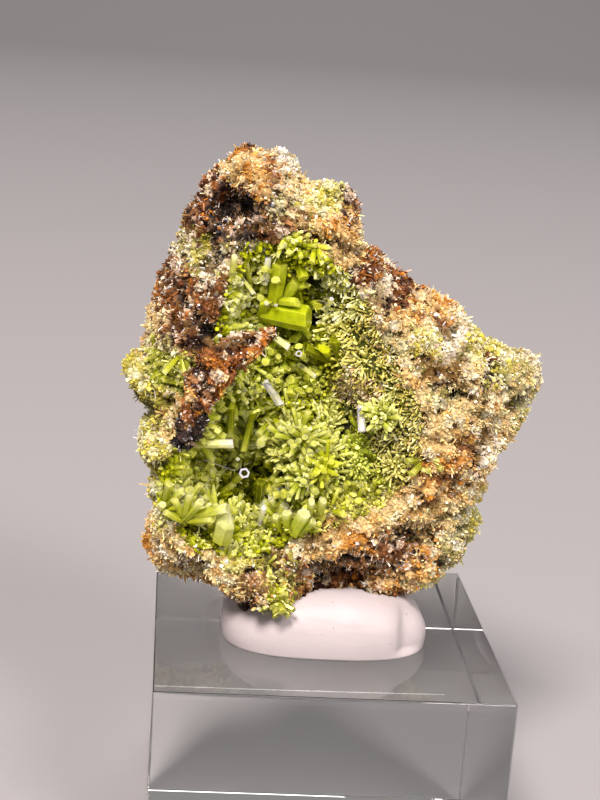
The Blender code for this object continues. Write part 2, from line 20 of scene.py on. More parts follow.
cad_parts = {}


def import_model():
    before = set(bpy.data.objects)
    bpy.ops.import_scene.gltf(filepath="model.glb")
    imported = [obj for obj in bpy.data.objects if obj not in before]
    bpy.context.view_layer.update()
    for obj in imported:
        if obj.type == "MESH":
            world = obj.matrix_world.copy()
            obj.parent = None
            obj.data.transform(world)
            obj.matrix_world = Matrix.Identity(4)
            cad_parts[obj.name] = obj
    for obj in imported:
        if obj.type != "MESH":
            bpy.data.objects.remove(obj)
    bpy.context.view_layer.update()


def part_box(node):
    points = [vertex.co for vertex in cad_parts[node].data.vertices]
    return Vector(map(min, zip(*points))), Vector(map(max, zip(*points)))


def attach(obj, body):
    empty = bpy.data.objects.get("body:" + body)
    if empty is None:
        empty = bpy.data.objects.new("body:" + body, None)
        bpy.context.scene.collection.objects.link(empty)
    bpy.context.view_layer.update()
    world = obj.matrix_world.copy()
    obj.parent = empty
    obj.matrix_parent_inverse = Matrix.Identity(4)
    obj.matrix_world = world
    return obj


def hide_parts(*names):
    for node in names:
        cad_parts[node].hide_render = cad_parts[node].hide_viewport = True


LOG = logging.getLogger("specimen")
MM = 0.001
BODY = "root"

# Numbers that mix the bits of a cell's place, and the bits that are kept
HASH_FACTOR = 1274126177
LOW_BITS = 0xFFFFFFFF

# Unevenness of a crystal: lowest and highest flatness of its section, width of its corners,
# and how much its end slants
FLATNESS = (0.78, 1.0)
UNEVEN_SIDES = (0.86, 1.1)
END_SLANT = 0.22

# Weights of the coatings: least weight of tan anywhere, how fast a patch's weight falls
# off, and how sharply neighbouring patches part
LEAST_TAN = 0.02
PATCH_FALL = 0.8
PATCH_CONTRAST = 1.7

# Outline of the rock as the viewer sees it: x and height z, from the right tip round
# by the top
ROCK_OUTLINE = (
    (18.7, 45.9), (17.7, 47.8), (15.1, 48.1), (13.1, 48.8), (11.5, 50.5), (9.4, 52.3),
    (7.6, 52.7), (5.3, 54.1), (3.4, 55.5), (0.9, 57.1), (0.3, 58.6), (0.1, 60.6),
    (-1.0, 61.8), (-3.1, 62.1), (-4.4, 61.9), (-5.3, 62.6), (-6.0, 64.3), (-7.2, 65.1),
    (-8.5, 64.5), (-9.8, 65.6), (-10.9, 65.2), (-11.9, 64.1), (-12.9, 62.6), (-13.8, 61.1),
    (-14.7, 59.2), (-15.7, 57.0), (-16.7, 54.9), (-17.3, 52.2), (-17.3, 50.4),
    (-18.2, 48.5), (-18.3, 46.2), (-20.0, 44.8), (-19.5, 43.8), (-18.2, 42.1),
    (-17.5, 40.6), (-18.4, 39.6), (-18.4, 38.7), (-17.2, 36.6), (-16.5, 34.3),
    (-16.2, 31.6), (-17.2, 29.3), (-17.4, 27.8), (-16.5, 26.1), (-14.9, 25.4),
    (-13.0, 24.9), (-11.3, 24.8), (-9.6, 24.4), (-8.4, 23.7), (-6.6, 23.3), (-5.0, 23.6),
    (-3.8, 24.2), (-1.4, 24.4), (1.1, 24.4), (3.7, 24.3), (6.8, 24.5), (8.6, 25.2),
    (9.9, 26.0), (11.2, 27.2), (12.6, 27.7), (13.3, 29.6), (14.0, 31.5), (13.4, 33.2),
    (14.0, 34.8), (13.6, 36.7), (14.7, 37.8), (16.6, 40.3), (17.4, 42.0), (18.0, 44.3),
)

# Rim of the hollow: x, y and z round it in the same order
HOLLOW_RIM = (
    (7.3, -6.6, 41.5), (5.4, -6.2, 46.1), (2.2, -6.0, 50.8), (-1.2, -5.8, 55.6),
    (-5.4, -5.2, 57.8), (-10.2, -5.6, 56.6), (-11.8, -7.0, 52.8), (-11.4, -8.2, 48.5),
    (-12.7, -8.2, 44.5), (-13.9, -7.8, 40.5), (-15.2, -6.2, 36.7), (-14.8, -6.6, 32.5),
    (-11.0, -7.8, 29.4), (-6.7, -8.2, 28.7), (-2.7, -8.3, 31.0), (3.1, -7.8, 32.6),
    (6.7, -7.2, 36.0),
)

# How far the wall of the hollow cuts in behind its rim, by direction in degrees
UNDERCUT = ((0, 0.0), (90, 0.1), (135, 0.4), (165, 0.5), (205, 0.4), (235, 0.0), (300, 0.0))

# Lumps (towards the viewer) and pits (away) on the front: x, z, half widths, height
FRONT_LUMPS = {
    "left peak": (-9.6, 63.3, 2.0, 1.8, 2.2),
    "right peak": (-6.9, 62.4, 1.7, 2.2, 2.6),
    "dark hole": (-10.9, 59.9, 1.7, 1.3, -5.0),
    "crevice": (-13.3, 56.8, 0.8, 2.2, -3.0),
    "side knob": (-2.2, 60.2, 2.8, 1.6, 3.0),
    "rusty shoulder": (-14.4, 52.0, 2.6, 3.6, 1.8),
    "gap under the shoulder": (-16.0, 46.6, 1.6, 1.2, -3.2),
    "left spike": (-18.6, 44.4, 1.6, 1.8, 2.4),
    "left knob": (-17.2, 39.0, 1.4, 1.8, 2.6),
    "spray mound": (-3.0, 38.4, 4.2, 4.0, 3.4),
    "right spray mound": (3.6, 43.2, 3.2, 3.0, 1.8),
    "ledge by the gap": (0.8, 46.6, 2.4, 1.7, 1.7),
    "gap below the ledge": (1.2, 42.2, 2.0, 1.8, -1.2),
    "deep corner": (-8.6, 35.6, 3.2, 2.6, -3.0),
    "upper gap": (-2.6, 52.0, 1.6, 2.2, -1.6),
    "slope hump": (10.2, 48.0, 2.6, 2.4, 1.6),
    "slope hump low": (10.2, 40.0, 2.6, 3.0, 1.4),
    "tip hump": (15.6, 45.6, 2.4, 1.8, 2.0),
    "slope pit": (9.4, 45.3, 1.0, 0.7, -1.8),
    "slope ledge": (10.4, 46.9, 3.4, 0.9, 0.9),
    "crease under the ledge": (11.4, 45.2, 3.6, 0.5, -0.9),
    "pit by the tip": (12.3, 46.9, 0.6, 0.6, -1.2),
    "upper slope pit": (6.4, 50.6, 0.9, 0.6, -1.1),
    "low slope pit": (9.6, 36.2, 0.8, 0.9, -1.2),
    "peak pit": (-7.6, 61.3, 0.6, 0.6, -1.2),
    "lower left lumps": (-14.8, 29.0, 2.4, 2.0, 2.0),
    "lower left recess": (-13.2, 27.6, 1.2, 2.0, -2.6),
    "foot": (-6.4, 25.4, 2.6, 2.0, 3.4),
    "recess over the putty": (1.2, 27.4, 4.6, 1.9, -4.6),
    "right recess": (7.2, 30.6, 1.6, 1.9, -2.4),
    "lower right lump": (8.8, 27.8, 2.6, 2.0, 2.0),
    "right foot lump": (4.6, 25.6, 2.4, 1.2, 0.7),
}

# Lumps and pits on the back, in the same form
BACK_LUMPS = {
    "upper ridge": (-8.0, 56.0, 3.5, 6.0, 2.2),
    "middle hump": (2.0, 44.0, 6.0, 5.0, 2.0),
    "broken hollow": (-8.5, 42.0, 4.2, 4.6, -3.4),
    "ledge": (-6.0, 34.5, 9.0, 2.0, 1.8),
    "low pit": (3.0, 33.0, 3.0, 2.4, -2.6),
    "right hump": (12.0, 42.0, 2.6, 3.4, 1.6),
}

# Flat broken faces that cut the back: depth at the centre line, slope along x and z
BROKEN_FACES = ((10.4, -0.32, 0.1), (12.2, 0.42, -0.12), (11.2, 0.05, -0.3))

# How far green crystals grow, as a share of the hollow, by direction in degrees
GROWTH_LIMIT = (
    (0, 0.96), (45, 0.98), (90, 1.0), (140, 1.0), (180, 1.06), (194, 1.1), (205, 1.3),
    (216, 1.24), (226, 1.02), (232, 1.0), (250, 0.96), (275, 0.95), (290, 0.9), (330, 0.92),
)

# Gaps between the crystals: x, z and radius. No crystals grow there, the rock sinks in, and its colour is
# painted near black as shade.
GAPS_WITH_PAINTED_SHADE = (
    (-8.9, 55.3, 0.7), (-10.3, 53.9, 0.6), (-3.6, 54.2, 1.1), (-3.5, 50.2, 1.1),
    (-9.5, 51.5, 0.6), (-3.6, 47.5, 0.8), (-5.6, 45.1, 0.8), (0.3, 40.6, 1.0),
    (-6.4, 36.4, 0.8),
)

# Way from the specimen to the viewer
TO_VIEWER = (-0.09, -1.0, 0.266)

# The rusty arm that hangs over the hollow: x, y, z and half thickness along it
RUSTY_ARM = (
    (-7.3, -9.4, 50.5, 0.6), (-9.2, -9.4, 49.6, 0.95), (-10.8, -9.3, 48.7, 1.25),
    (-12.2, -9.2, 47.3, 1.65), (-13.0, -9.1, 45.4, 1.45), (-13.5, -9.0, 43.5, 1.0),
    (-13.9, -9.0, 41.9, 0.95), (-14.4, -9.0, 40.5, 0.6), (-14.8, -9.0, 39.5, 0.3),
)


def linear(code: str) -> tuple[float, float, float]:
    """Turn an sRGB hex colour into linear RGB.

    Args:
        code: Six hex digits with a leading hash.

    Returns:
        Red, green and blue from 0 to 1 in linear light.
    """
    parts = [int(code[k : k + 2], 16) / 255.0 for k in (1, 3, 5)]
    return tuple(p / 12.92 if p <= 0.04045 else ((p + 0.055) / 1.055) ** 2.4 for p in parts)


def rgba(code: str) -> tuple[float, float, float, float]:
    """Give an sRGB hex colour as the four linear values of a colour socket."""
    return (*linear(code), 1.0)


def values_of(rows: Iterable, name: str) -> np.ndarray:
    """Give one property of each row."""
    return np.array([getattr(row, name) for row in rows])


def colours_of(rows: Iterable, name: str) -> np.ndarray:
    """Give one colour of each row, in linear light."""
    return np.array([linear(getattr(row, name)) for row in rows])


def unit(vectors: np.ndarray) -> np.ndarray:
    """Scale each row vector to length one."""
    return vectors / np.maximum(np.linalg.norm(vectors, axis=-1, keepdims=True), 1e-9)


def full_turn(count: int) -> np.ndarray:
    """Give evenly spaced directions round a full turn, in radians."""
    return np.arange(count) * 2 * math.pi / count


def smooth_step(values: np.ndarray, low: float, high: float) -> np.ndarray:
    """Rise smoothly from 0 at the low value to 1 at the high one."""
    t = np.clip((values - low) / (high - low), 0, 1)
    return t * t * (3 - 2 * t)


def uneven(chance: np.random.Generator, spread: float, shape: int | tuple) -> np.ndarray:
    """Give random factors about one, which differ by about the spread."""
    return np.exp(chance.normal(0, spread, shape))


def hash_unit(cells: np.ndarray, seed: int) -> np.ndarray:
    """Give a repeatable number for each cell of a cubic lattice, by mixing its bits.

    Args:
        cells: Whole numbers of the cells along x, y and z, one cell a row.
        seed: Number that picks one set of values.

    Returns:
        Values from 0 to 1.
    """
    mixed = cells[:, 0] * 374761393 + cells[:, 1] * 668265263 + cells[:, 2] * 2147483647
    mixed = np.bitwise_and(mixed + seed * HASH_FACTOR, LOW_BITS)
    mixed = np.bitwise_and(np.bitwise_xor(mixed, mixed >> 13) * HASH_FACTOR, LOW_BITS)
    return np.bitwise_xor(mixed, mixed >> 16) / float(LOW_BITS)


def soft_noise(points: np.ndarray, cell: float, seed: int) -> np.ndarray:
    """Give values that blend smoothly between the corners of cubic cells.

    Args:
        points: Places in millimetres, one a row.
        cell: Size of a cell in millimetres.
        seed: Number that picks one set of values.

    Returns:
        Values from -1 to 1.
    """
    scaled = points / cell
    corner = np.floor(scaled).astype(np.int64)
    part = scaled - corner
    part = part * part * (3.0 - 2.0 * part)
    total = np.zeros(len(points))
    for step in product((0, 1), repeat=3):
        x, y, z = np.where(step, part, 1 - part).T
        total += x * y * z * (2.0 * hash_unit(corner + step, seed) - 1.0)
    return total


def wander(points: np.ndarray, cell: float, seed: int) -> np.ndarray:
    """Move points about by up to 0.8 mm of noise, so that edges read there are bent."""
    return points + 0.8 * np.column_stack([soft_noise(points, cell, seed + s) for s in (0, 1, 2)])


def nearest_seed(points: np.ndarray, cell: float, seed: int) -> tuple[np.ndarray, np.ndarray]:
    """Find the nearest of the scattered seeds, one of which lies in each cubic cell.

    Args:
        points: Places in millimetres, one a row.
        cell: Size of a cell in millimetres.
        seed: Number that picks one scatter.

    Returns:
        The distance to the nearest seed in cells, and a number from 0 to 1 that belongs
        to that seed.
    """
    corner = np.floor(points / cell).astype(np.int64)
    best = np.full(len(points), np.inf)
    tag = np.zeros(len(points))
    for step in product((-1, 0, 1), repeat=3):
        near = corner + step
        offset = np.stack([hash_unit(near, seed + s) for s in (0, 1, 2)], axis=1)
        gap = np.linalg.norm(points / cell - (near + offset), axis=1)
        closer = gap < best
        best = np.where(closer, gap, best)
        tag = np.where(closer, hash_unit(near, seed + 3), tag)
    return best, tag


def lumpy(points: np.ndarray, cell: float, seed: int) -> np.ndarray:
    """Give heights from 0 to 1 of round lumps that meet in creases, one a cell."""
    gap, _ = nearest_seed(points, cell, seed)
    return np.clip(1.0 - gap * gap, 0, 1)


def cubic(
    t: np.ndarray, start: np.ndarray, leaving: np.ndarray, end: np.ndarray, arriving: np.ndarray
) -> np.ndarray:
    """Read a cubic curve between two values.

    Args:
        t: How far along, from 0 to 1.
        start: Value at 0.
        leaving: Slope there.
        end: Value at 1.
        arriving: Slope there.

    Returns:
        The values.
    """
    return (
        start * (1 + 2 * t) * (1 - t) ** 2
        + leaving * t * (1 - t) ** 2
        + end * t * t * (3 - 2 * t)
        + arriving * t * t * (t - 1)
    )


def smooth_path(values: np.ndarray, count: int) -> np.ndarray:
    """Read a smooth curve through rows of values.

    Args:
        values: Rows that the curve passes.
        count: How many evenly spaced places to read.

    Returns:
        One row for each place.
    """
    steps = np.linspace(0, len(values) - 1, count)
    left = np.clip(steps.astype(int), 0, len(values) - 2)
    slope = np.gradient(values, axis=0)
    return cubic((steps - left)[:, None], values[left], slope[left], values[left + 1], slope[left + 1])


class Ring:
    """A value that is known at some directions and read at any, round a full turn."""

    def __init__(self, angles: np.ndarray, values: np.ndarray) -> None:
        """Sort the known values and repeat two past each end.

        Args:
            angles: Directions in degrees.
            values: What is known there.
        """
        order = np.argsort(angles)
        known, given = np.asarray(angles, float)[order], np.asarray(values, float)[order]
        self.known = np.concatenate([known[-2:] - 360.0, known, known[:2] + 360.0])
        self.given = np.concatenate([given[-2:], given, given[:2]])

    def straight(self, angle: np.ndarray) -> np.ndarray:
        """Read the ring with straight lines between the known values."""
        return np.interp(np.mod(angle, 360.0), self.known, self.given)

    def smooth(self, angle: np.ndarray) -> np.ndarray:
        """Read the ring as a cubic curve through the known values.

        Args:
            angle: Directions in degrees.

        Returns:
            The values there.
        """
        slope = np.gradient(self.given, self.known)
        angle = np.mod(angle, 360.0)
        left = np.searchsorted(self.known, angle, side="right") - 1
        left = np.clip(left, 0, len(self.known) - 2)
        span = self.known[left + 1] - self.known[left]
        t = (angle - self.known[left]) / span
        return cubic(t, self.given[left], span * slope[left], self.given[left + 1], span * slope[left + 1])


def lump_field(x: np.ndarray, z: np.ndarray, lumps: dict[str, tuple]) -> np.ndarray:
    """Add up rounded lumps and pits, each a bell over x and z.

    Args:
        x: Places across.
        z: Their heights.
        lumps: Place, half widths and height of each lump, by name.

    Returns:
        How far the lumps stand out at each place.
    """
    total = np.zeros_like(x)
    for lump_x, lump_z, half_x, half_z, height in lumps.values():
        total += height * np.exp(-(((x - lump_x) / half_x) ** 2) - ((z - lump_z) / half_z) ** 2)
    return total


@dataclass
class RockForm:
    """The rock's main form, which is the same as in the solids.

    The front is read by direction and share: share 0 is the hollow's floor, 1 its rim and
    2 the outline. On the back, share 0 is the outline and 1 the middle. The relief holds
    the cell and height of each layer, and loses most of its height at the outline.
    """

    centre_x: float = -4.0
    centre_z: float = 43.0
    reach: float = 18.0
    lean: float = 0.06
    lean_from_z: float = 32.0
    back_depth: float = 9.5
    floor_y: float = -0.5
    steepness: float = 2.3
    flank_fullness: float = 2.2
    flank_roundness: float = 0.65
    lump_fade: float = 6.0
    back_fullness: float = 2.4
    back_roundness: float = 0.6
    corner_smoothing: float = 26.0
    smoothing_steps: int = 9
    relief: tuple[tuple[float, float], ...] = ((5.5, 1.1), (2.6, 0.7))
    relief_seed: int = 17
    edge_from: float = 0.8
    edge_width: float = 0.2
    edge_loss: float = 0.75
    outline: Ring = field(init=False)
    rim: Ring = field(init=False)
    rim_y: Ring = field(init=False)
    undercut: Ring = field(init=False)
    growth: Ring = field(init=False)

    def __post_init__(self) -> None:
        """Turn the outline and the rim into rings round the centre."""
        angles, radii = self.polar(*np.array(ROCK_OUTLINE).T)
        self.outline = Ring(angles, radii)
        rim = np.array(HOLLOW_RIM)
        angles, radii = self.polar(rim[:, 0], rim[:, 2])
        self.rim = Ring(angles, radii)
        self.rim_y = Ring(angles, rim[:, 1])
        self.undercut = Ring(*np.array(UNDERCUT).T)
        self.growth = Ring(*np.array(GROWTH_LIMIT).T)

    def polar(self, x: np.ndarray, z: np.ndarray) -> tuple[np.ndarray, np.ndarray]:
        """Give direction in degrees and distance from the rock's centre."""
        dx, dz = x - self.centre_x, z - self.centre_z
        return np.mod(np.degrees(np.arctan2(dz, dx)), 360.0), np.hypot(dx, dz)

    def across(self, angle: np.ndarray, radius: np.ndarray) -> tuple[np.ndarray, np.ndarray]:
        """Give x and z from direction in degrees and distance from the rock's centre."""
        turn = np.radians(angle)
        return self.centre_x + radius * np.cos(turn), self.centre_z + radius * np.sin(turn)

    def past_growth(self, places: np.ndarray, share: np.ndarray) -> np.ndarray:
        """Say how far each place lies past the edge of the green crystals, as a share."""
        angle, _ = self.polar(places[..., 0], places[..., 2])
        return share - self.growth.straight(angle)

    def edge_depth(self, z: np.ndarray) -> np.ndarray:
        """Give y of the outline, which leans back a little towards the top."""
        return self.lean * (z - self.lean_from_z)

    def outline_radius(self, angle: np.ndarray, nearness: np.ndarray) -> np.ndarray:
        """Give the outline's radius.

        Args:
            angle: Directions in degrees.
            nearness: 1 at the outline; its small corners fade as this falls to 0.

        Returns:
            The radii.
        """
        exact = self.outline.straight(angle)
        turns = np.linspace(-self.corner_smoothing, self.corner_smoothing, self.smoothing_steps)
        soft = np.mean([self.outline.straight(angle + turn) for turn in turns], axis=0)
        return soft + (exact - soft) * nearness

    def roughen(self, points: np.ndarray, radius_share: np.ndarray, side: float) -> np.ndarray:
        """Push points out by the relief: along y near the centre, sideways at the edge.

        Args:
            points: Places on the smooth form.
            radius_share: How far out each lies, from 0 to 1 at the outline.
            side: -1 on the front and 1 on the back.

        Returns:
            The moved points.
        """
        sideways = radius_share**3
        away = np.column_stack(
            [
                (points[:, 0] - self.centre_x) * sideways / self.reach,
                side * np.sqrt(1.0 - np.clip(sideways, 0, 1) ** 2),
                (points[:, 2] - self.centre_z) * sideways / self.reach,
            ]
        )
        height = np.zeros(len(points))
        for layer, (cell, size) in enumerate(self.relief):
            height += size * soft_noise(points, cell, self.relief_seed + layer)
        at_edge = 1.0 - self.edge_loss * np.clip((radius_share - self.edge_from) / self.edge_width, 0, 1)
        return points + unit(away) * (height * at_edge)[:, None]

    def front(self, angle: np.ndarray, share: np.ndarray) -> np.ndarray:
        """Work out front points: a bowl inside the rim and a rounded flank outside it.

        Args:
            angle: Directions in degrees.
            share: Shares from 0 to 2, which are spread over the directions.

        Returns:
            The points, one a row.
        """
        angle, share = (np.ravel(v) for v in np.broadcast_arrays(angle, share))
        inner, outer = np.clip(share, 0, 1), np.clip(share - 1, 0, 1)
        rim, rim_y = self.rim.smooth(angle), self.rim_y.smooth(angle)
        under = np.clip(self.undercut.smooth(angle), 0, 1)
        outline = self.outline_radius(angle, outer**2)
        radius = rim * (inner + under * inner * np.sin(math.pi * inner))
        radius = np.where(share > 1, rim + (outline - rim) * outer, radius)
        x, z = self.across(angle, radius)
        bowl = self.floor_y + (rim_y - self.floor_y) * inner**self.steepness
        edge = self.edge_depth(z)
        flank = edge + (rim_y - edge) * (1 - outer**self.flank_fullness) ** self.flank_roundness
        y = np.where(share > 1, flank, bowl)
        y = y - lump_field(x, z, FRONT_LUMPS) * np.sqrt(1 - outer**self.lump_fade)
        y = np.where(share > 1, np.minimum(y, edge), y)
        return self.roughen(np.column_stack([x, y, z]), radius / outline, -1.0)

    def back(self, angle: np.ndarray, share: np.ndarray) -> np.ndarray:
        """Work out back points: a bulge with lumps that flat broken faces cut.

        Args:
            angle: Directions in degrees.
            share: Shares from 0 to 1, which are spread over the directions.

        Returns:
            The points, one a row.
        """
        angle, share = (np.ravel(v) for v in np.broadcast_arrays(angle, share))
        radius = self.outline_radius(angle, (1 - share) ** 4) * (1 - share)
        x, z = self.across(angle, radius)
        edge = self.edge_depth(z)
        height = self.back_depth + lump_field(x, z, BACK_LUMPS)
        for base, slope_x, slope_z in BROKEN_FACES:
            height = np.minimum(height, base + slope_x * x + slope_z * (z - self.centre_z))
        bulge = (1 - (1 - share) ** self.back_fullness) ** self.back_roundness
        y = np.maximum(edge + height * bulge, edge)
        return self.roughen(np.column_stack([x, y, z]), 1 - share, 1.0)


class Rows:
    """Arrays of equal length held together, with one row for each thing."""

    def keep(self, chosen: np.ndarray) -> Self:
        """Keep only the chosen rows."""
        return type(self)(*(getattr(self, name)[chosen] for name in self.__dataclass_fields__))

    @classmethod
    def joined(cls, groups: list[Self]) -> Self:
        """Put several groups in one."""
        names = cls.__dataclass_fields__
        return cls(*(np.concatenate([getattr(group, name) for group in groups]) for name in names))


@dataclass
class Strewn(Rows):
    """Places on a surface with their outward directions, shares and standing.

    Standing is 0 in the surface's creases and 1 on its lumps.
    """

    places: np.ndarray
    normals: np.ndarray
    share: np.ndarray
    standing: np.ndarray


@dataclass
class Patchwork:
    """A mesh surface that crystals can be strewn over.

    Attributes:
        points: Corners of its four-sided patches, as rings of columns.
        normals: Outward directions at the corners.
        share: Share of the form at each ring: 0 to 2 on the front, 2 to 3 on the back.
        standing: From 0 in creases to 1 on lumps, at the corners.
    """

    points: np.ndarray
    normals: np.ndarray
    share: np.ndarray
    standing: np.ndarray

    @staticmethod
    def pushed(
        base: np.ndarray, amount: np.ndarray, share: np.ndarray, standing: np.ndarray
    ) -> "Patchwork":
        """Push a surface out, square to itself.

        Args:
            base: Its points, as rings of columns.
            amount: How far each point moves.
            share: Share of the form at each ring.
            standing: Standing of each point.

        Returns:
            The moved surface.
        """
        normals = grid_normals(base).reshape(-1, 3)
        points = (base.reshape(-1, 3) + normals * amount[:, None]).reshape(base.shape)
        return Patchwork(points, grid_normals(points), share, standing.reshape(base.shape[:2]))

    def middles(self) -> np.ndarray:
        """Give the middle of each patch."""
        wide = self.points + np.roll(self.points, -1, axis=1)
        return (wide[:-1] + wide[1:]) / 4.0

    def patch_share(self) -> np.ndarray:
        """Give the share at each patch, as a column that spreads over its ring."""
        return ((self.share[:-1] + self.share[1:]) / 2)[:, None]

    def strew(self, density: np.ndarray, chance: np.random.Generator) -> Strewn:
        """Pick places over the patches.

        Args:
            density: Places for each square millimetre, one value a patch.
            chance: Source of the random choices.

        Returns:
            The places with their directions and shares.
        """
        corners = [self.points[:-1], self.points[1:]]
        corners += [np.roll(c, -1, axis=1) for c in corners]
        across, down = corners[2] - corners[0], corners[1] - corners[0]
        area = np.linalg.norm(np.cross(across, down), axis=-1)
        wanted = chance.poisson(area * density)
        ring, column = np.nonzero(wanted)
        times = wanted[ring, column]
        ring, column = np.repeat(ring, times), np.repeat(column, times)
        u, v = chance.random((2, len(ring), 1))
        place = (
            corners[0][ring, column] * (1 - u) * (1 - v)
            + corners[1][ring, column] * u * (1 - v)
            + corners[2][ring, column] * (1 - u) * v
            + corners[3][ring, column] * u * v
        )
        share = self.share[ring] + (self.share[ring + 1] - self.share[ring]) * u[:, 0]
        return Strewn(place, self.normals[ring, column], share, self.standing[ring, column])

    def nearest_front(self, x: float, z: float, limit: float) -> tuple[np.ndarray, np.ndarray]:
        """Find the surface's point that the viewer sees at x and z, and its direction.

        Args:
            x: Place across.
            z: Height.
            limit: Highest share that counts.

        Returns:
            The point and the outward direction there.
        """
        rings = int(np.sum(self.share <= limit))
        points = self.points[:rings].reshape(-1, 3)
        gap = np.hypot(points[:, 0] - x, points[:, 2] - z) + 0.02 * points[:, 1]
        best = int(np.argmin(gap))
        return points[best], self.normals[:rings].reshape(-1, 3)[best]


def grid_normals(points: np.ndarray) -> np.ndarray:
    """Give outward directions on rings of columns, square to the surface."""
    around = np.roll(points, -1, axis=1) - np.roll(points, 1, axis=1)
    return unit(np.cross(np.gradient(points, axis=0), around))


def write_mesh(
    name: str, points: np.ndarray, corners: np.ndarray, sizes: np.ndarray, smooth: bool
) -> bpy.types.Object:
    """Write a mesh object from whole arrays.

    Args:
        name: Name of the object.
        points: Vertices in millimetres.
        corners: Vertex numbers of all faces, one face after another.
        sizes: Number of corners of each face.
        smooth: Whether faces are shaded smooth.

    Returns:
        The object, at the origin.
    """
    mesh = bpy.data.meshes.new(name)
    mesh.vertices.add(len(points))
    mesh.vertices.foreach_set("co", (points * MM).astype(np.float32).ravel())
    mesh.loops.add(len(corners))
    mesh.loops.foreach_set("vertex_index", corners.astype(np.int32))
    mesh.polygons.add(len(sizes))
    starts = np.concatenate([[0], np.cumsum(sizes)[:-1]]).astype(np.int32)
    mesh.polygons.foreach_set("loop_start", starts)
    mesh.polygons.foreach_set("use_smooth", np.full(len(sizes), smooth))
    mesh.update(calc_edges=True)
    mesh.validate()
    return link_object(name, mesh)


def link_object(name: str, data: bpy.types.ID) -> bpy.types.Object:
    """Put an object with some data into the scene."""
    made = bpy.data.objects.new(name, data)
    bpy.context.scene.collection.objects.link(made)
    return made


def paint(made: bpy.types.Object, colours: np.ndarray) -> None:
    """Store linear colours on the vertices, as the attribute that the materials read.

    Args:
        made: Object to paint.
        colours: Red, green and blue of each vertex.
    """
    layer = made.data.color_attributes.new("tint", "FLOAT_COLOR", "POINT")
    filled = np.column_stack([colours, np.ones(len(colours))]).astype(np.float32)
    layer.data.foreach_set("color", filled.ravel())


def closed_grid(
    name: str, points: np.ndarray, first: np.ndarray, last: np.ndarray, smooth: bool
) -> bpy.types.Object:
    """Write rings of columns as a closed mesh with a pole at each end.

    Args:
        name: Name of the object.
        points: Rings of columns of points.
        first: Pole before the first ring.
        last: Pole after the last ring.
        smooth: Whether faces are shaded smooth.

    Returns:
        The object; its first vertex is the first pole and its last the last pole.
    """
    rings, columns = points.shape[:2]
    number = 1 + np.arange(rings * columns).reshape(rings, columns)
    after = np.roll(number, -1, axis=1)
    quads = np.stack([number[:-1], number[1:], after[1:], after[:-1]], axis=-1).reshape(-1, 4)
    start = np.stack([np.zeros(columns, int), number[0], after[0]], axis=1)
    end = np.stack([np.full(columns, rings * columns + 1), after[-1], number[-1]], axis=1)
    corners = np.concatenate([quads.ravel(), start.ravel(), end.ravel()])
    sizes = np.concatenate([np.full(len(quads), 4), np.full(2 * columns, 3)])
    everything = np.concatenate([[first], points.reshape(-1, 3), [last]])
    return write_mesh(name, everything, corners, sizes, smooth)


class Habit(Enum):
    """Crystal shapes: number of sides, then rings as shares of height, width and paleness."""

    # Paleness runs from the foot's colour to the tip's: the ends are paler partly as the crystals' own
    # colour and partly as painted highlight, and the blunt prism's palest ring, round the rim of its end,
    # is painted highlight where that edge catches the light
    BLUNT_PRISM = (
        6,
        ((0.0, 0.86, 0.0), (0.7, 1.0, 0.12), (0.975, 1.0, 0.7), (1.0, 0.94, 0.9), (1.0, 0.6, 0.5)),
    )
    PEAKED_PRISM = (6, ((0.0, 0.95, 0.0), (0.62, 1.0, 0.3), (0.97, 0.3, 0.8), (1.0, 0.12, 1.0)))
    HOPPER_PRISM = (
        6,
        ((0.0, 0.9, 0.0), (0.8, 1.0, 0.2), (1.0, 1.0, 1.0), (1.0, 0.66, 1.0), (0.8, 0.5, 0.0)),
    )
    SLIM_PRISM = (6, ((0.0, 0.75, 0.0), (0.66, 1.0, 0.3), (1.0, 0.88, 1.0)))
    NEEDLE = (4, ((0.0, 0.8, 0.0), (1.0, 0.9, 1.0)))
    GRAIN = (4, ((0.0, 1.0, 0.0), (1.0, 0.66, 1.0)))
    BLADE = (3, ((0.0, 1.0, 0.0), (1.0, 0.5, 1.0)))


